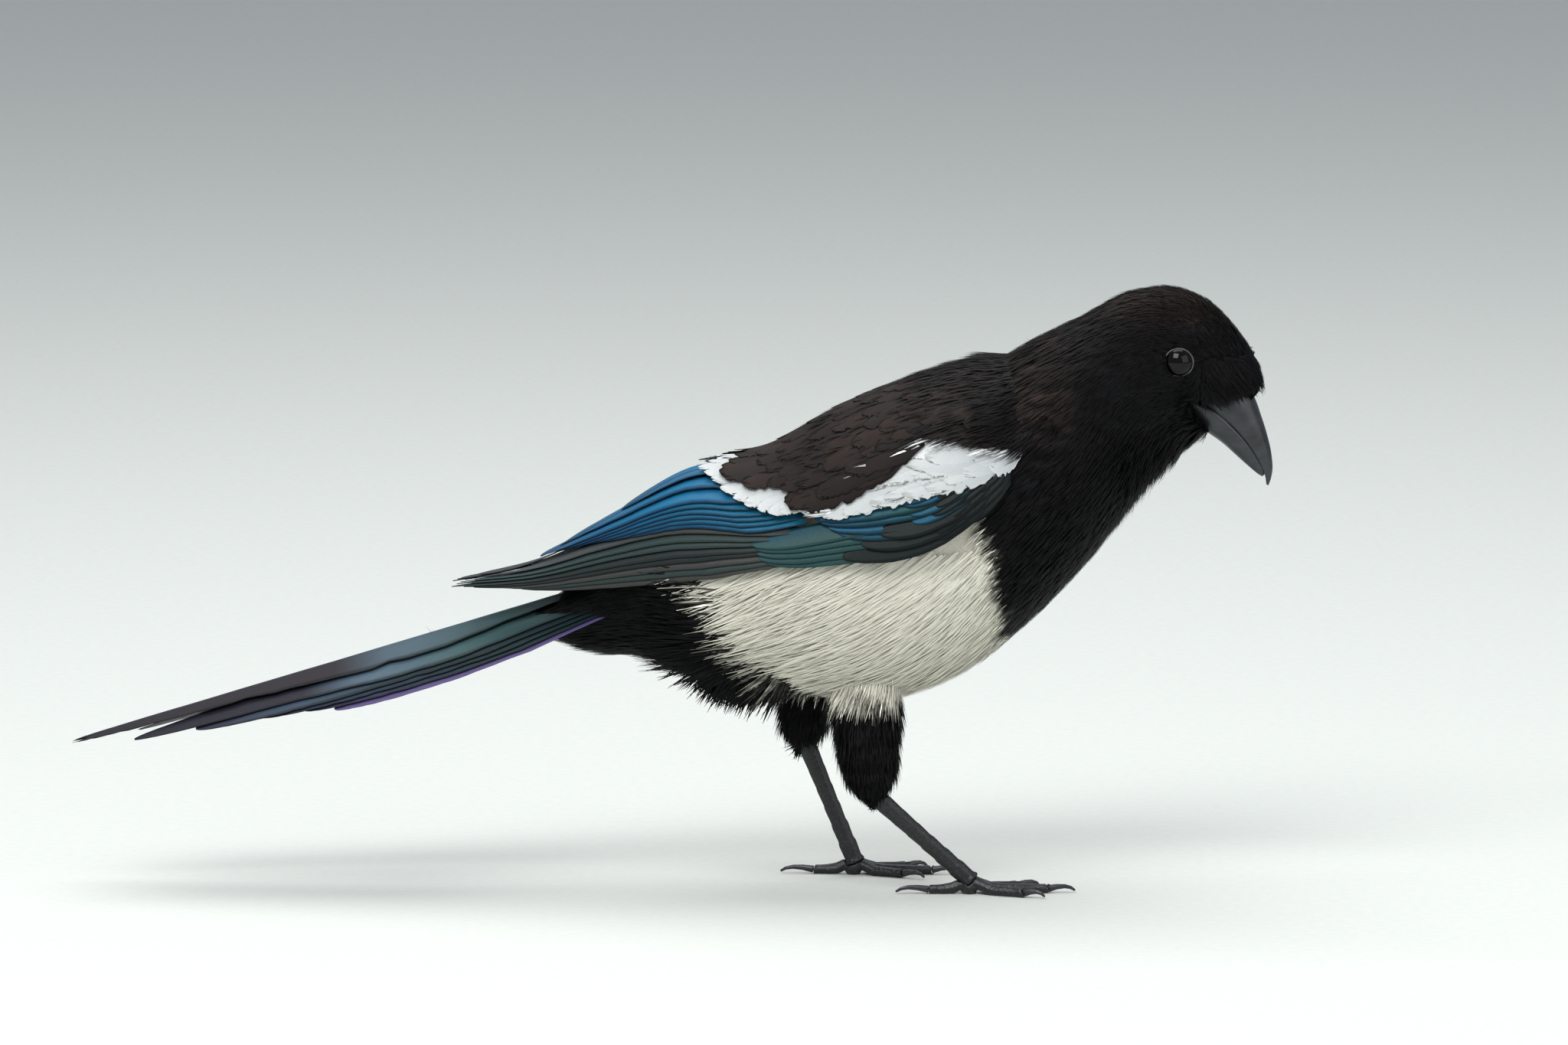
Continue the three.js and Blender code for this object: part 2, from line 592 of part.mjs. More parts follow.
// Legs and feet
function thighRings(leg) {
  const { side, hip, ankle, thigh, spread } = leg;
  const stops = THIGH.map(([r, deep, wide]) => {
    const slack = Math.sin(Math.PI * Math.min(r, 1)) * THIGH_SLACK;
    const across = side * (spread - THIGH_LEAN * (1 - r));
    const centre = point(lerp(hip[0], ankle[0], r) - slack, across, lerp(hip[1], ankle[1], r));
    return [centre, wide * thigh[1], deep * thigh[0]];
  });
  return tube(stops, 14);
}

const thighRoom = (name) => solid(skin(swell(thighRings(LEGS[name]), SOCKET)));

// The bare shank, with its row of scutes as small steps.
function shankRings(leg) {
  const from = point(leg.ankle[0], leg.side * leg.spread, leg.ankle[1]);
  const to = point(leg.foot, leg.side * leg.spread, FOOT_HEIGHT);
  const stops = [];
  for (let k = 0; k <= TARSUS.scutes; k++) {
    const r = k / TARSUS.scutes;
    const waist = 1 - TARSUS.slim * Math.sin(Math.PI * r) + (k === TARSUS.scutes ? TARSUS.flare : 0);
    const stop = (shift, grow) => {
      const centre = from.clone().lerp(to, Math.min(r + shift, 1));
      return [centre, TARSUS.width * waist + grow, TARSUS.depth * waist + grow];
    };
    stops.push(stop(0, TARSUS.step));
    if (k < TARSUS.scutes) stops.push(stop(TARSUS.plate / TARSUS.scutes, 0));
  }
  return tube(stops, 8);
}

// Where a toe's length reaches: the toe drops from the joint to the floor and runs level on its pads.
function toePoint(leg, toe, run) {
  const turn = degToRad(toe.angle * -leg.side);
  const height = lerp(FOOT_HEIGHT, TOE_PAD, ramp(clamp(run / TOE_DROP, 0, 1)));
  return point(leg.foot + run * Math.cos(turn), leg.side * leg.spread + run * Math.sin(turn), height);
}

function toeSolid(leg, toe) {
  const steps = 5;
  const joints = toe.length > 22 ? 3 : 2;
  const stops = Array.from({ length: steps + 1 }, (_, k) => {
    const r = k / steps;
    const pad = 1 + 0.1 * Math.cos(2 * Math.PI * joints * r);
    const radius = TOE_RADIUS * lerp(1.12, 0.78, r) * pad;
    return [toePoint(leg, toe, r * toe.length), radius, radius];
  });
  return solid(skin(tube(stops, 6)));
}

function clawSolid(leg, toe) {
  const steps = 4;
  const turn = degToRad(toe.angle * -leg.side);
  const start = toePoint(leg, toe, toe.length - 0.6);
  const stops = Array.from({ length: steps + 1 }, (_, k) => {
    const r = k / steps;
    const out = (toe.claw * Math.sin(r * CLAW_CURL)) / Math.sin(CLAW_CURL);
    const height = start.z + 0.9 * Math.sin(Math.PI * r) - 0.7 * r * r;
    const centre = point(start.x + out * Math.cos(turn), start.y + out * Math.sin(turn), height);
    const radius = lerp(1.15, 0.25, r ** 0.8);
    return [centre, radius * 0.8, radius];
  });
  return tube(stops, 6);
}

// Cuts away what lies under the floor, which leaves the small flats that the feet rest on.
function aboveFloor(body) {
  const box = new THREE.BoxGeometry(WORLD, WORLD, WORLD).translate(0, 0, -WORLD / 2);
  return body.subtract(solid(box));
}

function addLeg(name) {
  const leg = LEGS[name];
  const thigh = solid(skin(thighRings(leg)));
  const shank = shankRings(leg);
  const heel = new THREE.SphereGeometry(HEEL.radius, 8, 6);
  heel.translate(leg.foot - HEEL.behind, leg.side * leg.spread, HEEL.height);
  const claws = TOES.map((toe) => clawSolid(leg, toe));
  let foot = join([solid(heel), ...TOES.map((toe) => toeSolid(leg, toe))]);
  foot = foot.subtract(solid(skin(swell(shank, SOCKET))));
  for (const claw of claws) foot = foot.subtract(solid(skin(swell(claw, SOCKET))));
  show(`thigh_${name}`, thigh, LOOKS.black);
  show(`tarsus_${name}`, solid(skin(shank)).subtract(thighRoom(name)), LOOKS.scales);
  show(`foot_${name}`, aboveFloor(foot), LOOKS.scales);
  TOES.forEach((toe, i) => show(`claw_${name}_${toe.name}`, aboveFloor(solid(skin(claws[i]))), LOOKS.horn));
}

addTrunk();
addWing("wing_right", -1);
addWing("wing_left", 1);
addScapulars("scapulars_right", -1);
addScapulars("scapulars_left", 1);
addMantle();
addTail();
addLeg("right");
addLeg("left");

export default scene;
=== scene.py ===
"""A life-size Eurasian magpie that walks with its head low: its plumage, bill, eyes and legs, as they look.

Tables and shapes are in millimetres, with x ahead, y to the bird's left and z up. Meshes are made in metres.
"""
from math import cos, pi, radians, sin

import bmesh
import bpy
import numpy as np
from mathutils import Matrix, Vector


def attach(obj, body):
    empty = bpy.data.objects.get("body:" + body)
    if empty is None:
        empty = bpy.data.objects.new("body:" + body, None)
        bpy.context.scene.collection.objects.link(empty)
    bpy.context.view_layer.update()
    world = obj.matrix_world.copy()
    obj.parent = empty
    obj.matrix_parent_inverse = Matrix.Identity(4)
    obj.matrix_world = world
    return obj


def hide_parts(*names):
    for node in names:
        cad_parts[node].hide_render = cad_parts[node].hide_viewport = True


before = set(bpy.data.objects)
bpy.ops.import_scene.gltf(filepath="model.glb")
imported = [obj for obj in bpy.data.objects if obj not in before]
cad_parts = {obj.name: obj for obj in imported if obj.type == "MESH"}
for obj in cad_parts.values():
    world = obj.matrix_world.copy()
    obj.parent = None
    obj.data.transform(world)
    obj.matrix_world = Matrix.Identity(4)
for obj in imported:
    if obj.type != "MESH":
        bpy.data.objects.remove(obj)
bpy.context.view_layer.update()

MM = 0.001
EYE = np.array([171.9, 13.2, 181.0])
EYE_RADIUS = 5.6
# The tail's root in the side view, how far it slopes down, and how steeply its halves slope sideways.
TAIL = {"x": -10.0, "z": 108.2, "slope": radians(16.8), "roof": 0.4}
# Right and left leg: hip and ankle as x and z, and the thigh's thickness along and across the bird.
LEGS = [
    {"side": -1, "hip": (68, 84), "ankle": (68.5, 34.5), "thigh": (1.0, 0.86)},
    {"side": 1, "hip": (54, 86), "ankle": (45, 48.5), "thigh": (0.84, 0.76)},
]
LEG_SPREAD = 20  # from the middle plane to each ankle
HIP_INWARDS = 5  # how much nearer the hips are to the middle plane

# The body's outline from tail to bill: x and z above, x and z below, half width.
BODY = [
    (-74, 84.5, -75, 79.5, 3), (-61, 88.5, -62, 81, 7), (-48, 93.5, -49, 83, 9.5), (-34, 101, -36, 84.2, 11.5),
    (-19.5, 115.5, -19.5, 80.8, 15), (-1.3, 128, -1.3, 79, 22.5),
    (17, 137.5, 14.3, 75.2, 29.5), (35, 142.5, 32.5, 69.8, 34.5), (53.2, 153, 54.5, 66.4, 38),
    (74, 162, 77.9, 66.4, 38.3), (92.2, 169.5, 100.5, 74.5, 37.2), (107.8, 177, 122.1, 91.8, 36),
    (121, 186.8, 139, 108.6, 33), (134.5, 194.2, 150.6, 122.8, 27.5), (146.8, 200.2, 159, 136.7, 22.8),
    (158.4, 204.1, 164.4, 142.7, 19.4), (170.1, 205.1, 169.4, 147.4, 17.5),
    (181.8, 200.9, 174.4, 151.3, 16), (191.4, 191.7, 178, 153, 13.8), (198.2, 181.2, 181.6, 154.4, 11),
    (200.6, 171.5, 184.6, 156.4, 7.6), (197.6, 166.5, 188.5, 160, 3.6),
]
# The folded wing's surface from tip to shoulder: x, lower edge, crest on the back, half width.
WING = np.array([
    (-76, 100.4, 105.4, 11.5), (-46, 101.6, 113.2, 16.5), (-19.5, 105, 128.3, 23.5), (6.5, 108.4, 143.8, 32),
    (32.5, 111.8, 148.6, 40.3), (58, 114.4, 162.4, 43.8), (84, 118.8, 172.9, 44), (104, 129.5, 177.8, 41.5),
    (118, 140, 183, 37.2), (130, 150, 189.6, 31.5),
], float)
# Each half of the bill from root to tip: x and z above, x and z below, half width.
BILL_UPPER = [
    (192.6, 172.6, 178.2, 167.4, 5.6), (197.6, 168, 184, 163.4, 6.3), (200.5, 160.6, 189, 159.3, 5.6),
    (202.4, 154.6, 193.4, 154.7, 4.7), (203.8, 148.8, 197.3, 149.5, 3.6), (204.4, 143.2, 200.2, 144.4, 2.4),
    (203.9, 139.5, 201.8, 140.4, 1.3), (203, 136.9, 202.3, 137.3, 0.35),
]
BILL_LOWER = [
    (178, 166.2, 172.2, 161.2, 5.9), (183.2, 163.8, 177.7, 158.2, 6.2), (187.5, 160.4, 182.3, 155, 5.8),
    (191.5, 156.4, 187, 151.7, 5), (195.3, 152.1, 191.4, 147.8, 4), (198.5, 147.6, 195.6, 144, 2.9),
    (201, 143.2, 199.2, 141, 1.7), (201.8, 141, 200.9, 140, 0.5),
]


# Colour and node helpers
def hexa(code):
    """An sRGB hex colour as linear red, green, blue and alpha."""
    parts = np.array([int(code[i:i + 2], 16) / 255 for i in (1, 3, 5)])
    linear = np.where(parts <= 0.04045, parts / 12.92, ((parts + 0.055) / 1.055) ** 2.4)
    return (*linear.tolist(), 1.0)


def add(tree, kind, settings=None, **links):
    """A node with its settings. Each link names or numbers (_0) a socket, and holds a value or an output."""
    made = tree.nodes.new(kind)
    for name, value in (settings or {}).items():
        setattr(made, name, value)
    for name, value in links.items():
        key = int(name[1:]) if name[0] == "_" else name.replace("_", " ")
        socket = made.inputs[key]
        if isinstance(value, bpy.types.NodeSocket):
            tree.links.new(value, socket)
        else:
            socket.default_value = value
    return made


def blank_material(name):
    made = bpy.data.materials.new(name)
    made.use_nodes = True
    made.node_tree.nodes.clear()
    return made, made.node_tree


# Curves and patterns
def hermite(a, b, leave, arrive, u):
    """A cubic curve from a to b with the slopes leave and arrive at its ends, at u from 0 to 1."""
    return ((2 * u**3 - 3 * u**2 + 1) * a + (u**3 - 2 * u**2 + u) * leave
            + (-2 * u**3 + 3 * u**2) * b + (u**3 - u**2) * arrive)


def spline(rows, count):
    """A smooth curve through rows of numbers, with the same number of steps between each two rows."""
    rows = np.asarray(rows, float)
    padded = np.vstack([2 * rows[0] - rows[1], rows, 2 * rows[-1] - rows[-2]])
    place = np.linspace(0, len(rows) - 1, count)
    i = np.minimum(place.astype(int), len(rows) - 2)
    before, a, b, after = padded[i], padded[i + 1], padded[i + 2], padded[i + 3]
    return hermite(a, b, (b - before) / 2, (after - a) / 2, (place - i)[:, None])


def smoothstep(low, high, v):
    """0 at low and 1 at high, with a smooth change between. Low may be the larger of the two."""
    u = np.clip((v - low) / (high - low), 0, 1)
    return u * u * (3 - 2 * u)


def blend(a, b, share):
    return np.asarray(a) * (1 - share) + np.asarray(b) * share


def ragged(points, pitch, seed):
    """A smooth pattern around 0 with waves about pitch millimetres long."""
    rng = np.random.default_rng(seed)
    total = np.zeros(len(points))
    for _ in range(5):
        way = rng.normal(size=3)
        way *= 2 * pi / pitch / np.linalg.norm(way) * rng.uniform(0.7, 1.4)
        total += np.sin(points @ way + rng.uniform(0, 2 * pi))
    return total / 3


def ring_angles(sides):
    """Angles around a closed ring, half a step off the middle plane."""
    return (np.arange(sides) + 0.5) / sides * 2 * pi


# Meshes
def grid_faces(rings, sides, start=0, wrap=True):
    """Faces between rings of points that are numbered from start."""
    last = sides if wrap else sides - 1
    k, j = np.meshgrid(np.arange(rings - 1), np.arange(last), indexing="ij")
    a, b = k * sides + j, k * sides + (j + 1) % sides
    return (np.stack([a, b, b + sides, a + sides], -1).reshape(-1, 4) + start).tolist()


def tube_faces(rings, sides, start=0):
    """Faces of a tube of rings, with one more over each end."""
    first = range(start, start + sides)
    last = range(start + (rings - 1) * sides, start + rings * sides)
    return grid_faces(rings, sides, start) + [list(first)[::-1], list(last)]


def shade_smooth(mesh):
    mesh.polygons.foreach_set("use_smooth", [True] * len(mesh.polygons))


def new_mesh(name, points, faces, unit=MM):
    mesh = bpy.data.meshes.new(name)
    mesh.from_pydata((np.asarray(points) * unit).tolist(), [], faces)
    mesh.update()
    shade_smooth(mesh)
    return mesh


def new_piece(name, mesh, material=None):
    piece = bpy.data.objects.new(name, mesh)
    bpy.context.scene.collection.objects.link(piece)
    if material:
        mesh.materials.append(material)
    return piece


def turn_out(mesh):
    """Turns the faces of a closed mesh outwards."""
    points = np.empty(len(mesh.vertices) * 3)
    mesh.vertices.foreach_get("co", points)
    points = points.reshape(-1, 3)
    mesh.calc_loop_triangles()
    corners = np.empty(len(mesh.loop_triangles) * 3, int)
    mesh.loop_triangles.foreach_get("vertices", corners)
    a, b, c = points[corners.reshape(-1, 3)].transpose(1, 0, 2)
    if np.einsum("ij,ij->i", a, np.cross(b, c)).sum() < 0:
        mesh.flip_normals()


def corner_points(mesh):
    """The number of the point at each corner of a mesh's faces."""
    order = np.empty(len(mesh.loops), int)
    mesh.loops.foreach_get("vertex_index", order)
    return order


def stored(mesh, name, kind, domain, values):
    """Keeps an array on a mesh as a named attribute."""
    layer = mesh.attributes.new(name, kind, domain)
    field = {"FLOAT": "value", "FLOAT_COLOR": "color"}.get(kind, "vector")
    layer.data.foreach_set(field, np.ascontiguousarray(values, dtype=np.float32).ravel())


def dressed(mesh, lie, length, lift, tone, maps):
    """Keeps what the plumage tree reads from a skin, and the skin's own map."""
    tone[:, 3] = 1
    stored(mesh, "lie", "FLOAT_VECTOR", "POINT", lie)
    stored(mesh, "length", "FLOAT", "POINT", length * MM)
    stored(mesh, "lift", "FLOAT", "POINT", lift)
    stored(mesh, "tone", "FLOAT_COLOR", "POINT", tone)
    for name in ("OFBake", "root_uv"):
        stored(mesh, name, "FLOAT2", "CORNER", maps)


# Trunk, neck, head and thighs: one skin under the plumage
RINGS, SIDES = 190, 120
BULGE = 0.94  # below 1, a section of the trunk is a little fuller than an ellipse
COAT = 1.3  # depth of the coat over the skin
HEAD_THINNER = 0.35  # share of that depth that the coat loses towards the head
NAPE_DIP = 2.0  # how much deeper the skin of the nape lies, where the tufts lie thicker
HALF_IN_BILL = 3.2  # half width of the skin inside the bare bill
THIGH_COAT = 0.9  # depth of the coat on a thigh
THIGH_SAG = 1.5  # how far a thigh curves to the rear
EYE_BARE = 5.4  # radius around the eye where no tufts grow
# Each skin's low and high corners on the shared map: trunk, right thigh, left thigh.
SKIN_MAP = [((0.02, 0.02), (0.98, 0.7)), ((0.02, 0.74), (0.3, 0.98)), ((0.36, 0.74), (0.64, 0.98))]
BLACK, SOOT, WHITE = hexa("#060607"), hexa("#140f0d"), hexa("#d3d0c1")


def bulge(v):
    return np.sign(v) * np.abs(v) ** BULGE


def bill_share(x, z):
    """How far a place in the side view lies past the feathers' edge, where the bill is bare: from 0 to 1."""
    edge = np.interp(z, [154, 161, 167.5, 169.5, 172], [183, 178.5, 175.5, 181, 197])
    return smoothstep(-0.6, 0.6, x - edge) * smoothstep(173, 171.5, z)


def body_grid():
    """Rings of points from tail to bill, as deep under the outline as the coat is thick."""
    rows = spline(BODY, RINGS)
    flat = np.zeros(RINGS)
    top = np.stack([rows[:, 0], flat, rows[:, 1]], -1)
    low = np.stack([rows[:, 2], flat, rows[:, 3]], -1)
    middle = (top + low) / 2
    up = top - middle
    rise = np.linalg.norm(up, axis=1)[:, None]
    depth = COAT * (1 - HEAD_THINNER * smoothstep(150, 175, middle[:, :1]))
    up = up * (1 - depth / rise)
    half = rows[:, 4:5] * (1 - depth / rows[:, 4:5])
    angle = ring_angles(SIDES)
    points = middle[:, None] + up[:, None] * bulge(np.cos(angle))[None, :, None]
    points[:, :, 1] = half * bulge(np.sin(angle))[None, :]
    nape = smoothstep(112, 132, middle[:, :1]) * smoothstep(162, 148, middle[:, :1])
    points[:, :, 2] -= NAPE_DIP * nape * np.maximum(np.cos(angle), 0)
    slim = bill_share(points[:, :, 0], points[:, :, 2])
    points[:, :, 1] *= 1 - slim * (1 - HALF_IN_BILL / np.maximum(np.abs(points[:, :, 1]), HALF_IN_BILL))
    return points


def thigh_grid(leg, rings=34, sides=36):
    """Rings of points from hip to ankle."""
    # share of the way down, half depth, half width
    shape = spline([(0, 9, 5), (0.3, 10.4, 8.6), (0.58, 10, 8.4), (0.82, 9, 7.4), (0.94, 6.8, 5.4),
                    (1.03, 3.4, 3.2)], rings)
    r = shape[:, 0]
    sag = np.sin(pi * np.minimum(r, 1)) * THIGH_SAG
    x = leg["hip"][0] + (leg["ankle"][0] - leg["hip"][0]) * r - sag
    z = leg["hip"][1] + (leg["ankle"][1] - leg["hip"][1]) * r
    y = leg["side"] * (LEG_SPREAD - HIP_INWARDS * (1 - r))
    centre = np.stack([x, y, z], -1)
    way = np.gradient(centre, axis=0)
    way /= np.linalg.norm(way, axis=1)[:, None]
    across = np.array([0.0, 1, 0]) - way * way[:, 1:2]
    rise = np.cross(across, way)
    angle = ring_angles(sides)[None, :, None]
    wide = (shape[:, 2] * leg["thigh"][1] - THIGH_COAT)[:, None, None]
    deep = (shape[:, 1] * leg["thigh"][0] - THIGH_COAT)[:, None, None]
    return centre[:, None] + across[:, None] * np.sin(angle) * wide + rise[:, None] * np.cos(angle) * deep


def body_marks(p):
    """Shares of white at points of the trunk: belly and flanks, between the black bib and the black vent."""
    x, y, z = p[:, 0], np.abs(p[:, 1]), p[:, 2]
    wave = ragged(p, 16, 3) * 2.0
    bib = 119.5 - 0.16 * (z - 84) - 9 * smoothstep(14, 0, y) * smoothstep(100, 80, z) + wave
    vent = 47 - 0.62 * (z - 74) + 13 * smoothstep(80, 69, z) + wave * 1.5
    return smoothstep(1.4, -1.4, x - bib) * smoothstep(-2.0, 2.0, x - vent)


def skin_mesh():
    """The skin of trunk and thighs, then its points, their lie, its map and the count of the trunk's points."""
    points, faces, lies, maps = [], [], [], []
    start = 0
    for grid, (low, high) in zip([body_grid()] + [thigh_grid(leg) for leg in LEGS], SKIN_MAP):
        rings, sides = grid.shape[:2]
        trunk = start == 0
        lie = np.gradient(grid, axis=0)
        sheet = tube_faces(rings, sides, start)
        k, j = np.meshgrid(np.arange(rings - 1), np.arange(sides), indexing="ij")
        corners = [(k, j), (k, j + 1), (k + 1, j + 1), (k + 1, j)]
        if trunk:
            # the trunk's rings run ahead from the tail, while its feathers lie to the rear
            lie = -lie
            sheet = [face[::-1] for face in sheet]
            corners = corners[::-1]
        spots = np.stack([np.stack([a / (rings - 1), b / sides], -1) for a, b in corners], 2)
        spots = np.array(low) + spots.reshape(-1, 2) * (np.array(high) - low)
        maps.append(np.vstack([spots, np.tile(low, (sides, 1)), np.tile((high[0], low[1]), (sides, 1))]))
        points.append(grid.reshape(-1, 3))
        lies.append(lie.reshape(-1, 3))
        faces += sheet
        start += rings * sides
    mesh = new_mesh("skin", np.vstack(points), faces)
    return mesh, np.vstack(points), np.vstack(lies), np.vstack(maps), len(points[0])


def dress_skin(mesh, p, lie, maps, trunk_count):
    """Keeps the plumage's lie, length, rise, colour and regions on the skin, and returns the regions' names."""
    x, y, z = p[:, 0], p[:, 1], p[:, 2]
    thigh = np.arange(len(p)) >= trunk_count
    lie = lie / np.maximum(np.linalg.norm(lie, axis=1)[:, None], 1e-9)
    white = np.where(thigh, smoothstep(71, 74, z + 2 * ragged(p, 9, 6)), body_marks(p))
    length = np.interp(x, [-40, 0, 20, 60, 90, 105, 125, 150, 165, 180, 200],
                       [13, 17, 27, 24, 15, 12, 11, 8, 5.2, 3.8, 3.4])
    lift = np.interp(x, [-40, 20, 60, 110, 130, 160, 200], [0.1, 0.12, 0.07, 0.03, 0.05, 0.08, 0.08])
    flank = white * smoothstep(10, 30, np.abs(y))
    lie[:, 2] -= 0.28 * flank
    lift = lift * (1 - 0.6 * flank)
    # black feathers hang behind the legs, the belly's lowest ones over the thighs,
    # and the thighs' own top ones are white
    tassel = ~thigh * smoothstep(4, 22, x) * smoothstep(70, 62, x) * smoothstep(92, 80, z) * (1 - white)
    skirt = ~thigh * smoothstep(30, 40, x) * smoothstep(96, 84, x) * smoothstep(80, 71, z)
    hang = thigh * white
    # bristles over the nostrils lie forwards and down, over the root of the bill
    nose = ~thigh * smoothstep(165, 169, z) * smoothstep(186, 178, z) * smoothstep(175, 183, x)
    forwards = np.array([0.62, 0, -0.78]) - np.array([0, 0.1, 0]) * np.sign(y)[:, None]
    bristle = np.interp(x, [182, 198], [10, 5.5])
    for share, way, size, stand in ((tassel, (-0.4, 0, -0.92), 22, 0.42), (skirt, (-0.6, 0, -0.7), 13, 0.1),
                                    (hang, (-0.35, 0, -0.9), 12, 0.1), (nose, forwards, bristle, 0.1)):
        lie = blend(lie, way, share[:, None])
        length = blend(length, size, share)
        lift = blend(lift, stand, share)
    # the beard under the chin hangs and stands out
    chin = ~thigh * smoothstep(150, 162, x) * smoothstep(163, 152, z) * smoothstep(186, 179, x)
    lie = blend(lie, (-0.3, 0, -0.9), 0.7 * chin[:, None])
    length = blend(length, 10, chin)
    lift = lift + 0.4 * chin
    leg = thigh & (white < 0.5)
    length = np.where(leg, np.interp(z, [30, 40, 60, 80], [5, 8, 11, 13]), length)
    lift = np.where(leg, np.interp(z, [34, 60], [0.1, 0.24]), lift)
    # the crown and the nape have a brown cast
    crown = smoothstep(188, 204, z + 0.12 * (x - 150)) * smoothstep(196, 176, x)
    brown = np.maximum(crown, smoothstep(150, 172, z) * smoothstep(150, 128, x))[:, None]
    wave = 1 + 0.25 * ragged(p, 22, 5)[:, None]
    dressed(mesh, lie, length, lift, blend(blend(BLACK, SOOT, brown) * wave, WHITE, white[:, None]), maps)
    by_eye = np.hypot(x - EYE[0], z - EYE[2]) < EYE_BARE
    bare = by_eye & (np.abs(y) > 8) | (bill_share(x, z) > 0.3)
    under_wing = (z > 118) & (x > -10) & (x < np.where(z > 160, 115, 108)) & ~thigh
    free = ~bare & ~under_wing
    trunk = free & ~thigh
    dark = trunk & (white <= 0.5)
    pale = free & (white > 0.5)
    regions = {
        "head": trunk & (x > 158),
        "neck": trunk & (x <= 158) & (x > 134),
        "breast": dark & (x <= 134) & (x > 60),
        "flank_right": pale & (y < 0),
        "flank_left": pale & (y >= 0),
        "vent": dark & (x <= 60),
        "thighs": free & leg,
    }
    for name, where in regions.items():
        stored(mesh, "in_" + name, "FLOAT", "POINT", where.astype(float))
    return list(regions)


# The surface of the folded wings, and the skin of the back over them
def wing_row(x):
    """The wing's lower edge, crest and half width at x, on a smooth curve through the table."""
    x = np.asarray(x, float)
    at = WING[:, 0]
    slopes = np.gradient(WING[:, 1:], axis=0) / np.gradient(at)[:, None]
    i = np.clip(np.searchsorted(at, x) - 1, 0, len(at) - 2)
    width = (at[i + 1] - at[i])[..., None]
    u = (x - at[i])[..., None] / width
    return hermite(WING[i, 1:], WING[i + 1, 1:], slopes[i] * width, slopes[i + 1] * width, u)


def wing_point(side, x, t, h):
    """A point of the folded wing: t runs from its lower edge (0) to the crest of the back (1), h outwards."""
    low, crest, half = np.moveaxis(wing_row(x), -1, 0)
    angle = np.asarray(t) * pi / 2
    across, rise = half * np.cos(angle), (crest - low) * np.sin(angle)
    out_y, out_z = across / half**2, rise / (crest - low) ** 2
    size = np.hypot(out_y, out_z)
    x = np.broadcast_to(x, across.shape)
    return np.stack([x, side * (across + h * out_y / size), low + rise + h * out_z / size], -1)


def wing_arc(x, steps=9):
    """The way over the wing's surface from its lower edge to the crest, at each x."""
    line = wing_point(1, np.repeat(x[:, None], steps, 1), np.tile(np.linspace(0, 1, steps), (len(x), 1)), 0)
    return np.linalg.norm(np.diff(line, axis=1), axis=2).sum(1)


ARC_X = np.linspace(-76, 128, 60)
ARC = wing_arc(ARC_X)
# The upper edge of the white shoulder patch, as x and place up the wing.
PATCH_HIGH = np.array([(14, 0.27), (36, 0.27), (44, 0.275), (53, 0.31), (60, 0.38), (71, 0.455), (84, 0.51),
                       (97, 0.445), (110, 0.304), (122, 0.17)]).T


def patch_high(x):
    return np.interp(x, *PATCH_HIGH)


def rear_edge(t):
    """x of the mantle's rear edge at a place up the wing, where the white feathers behind it begin."""
    return np.interp(t, [0.29, 0.48, 0.55, 0.62, 0.68, 0.76, 0.86, 0.93, 1],
                     [41, 37, 31, 19, 16, 17, 20.5, 23, 30])


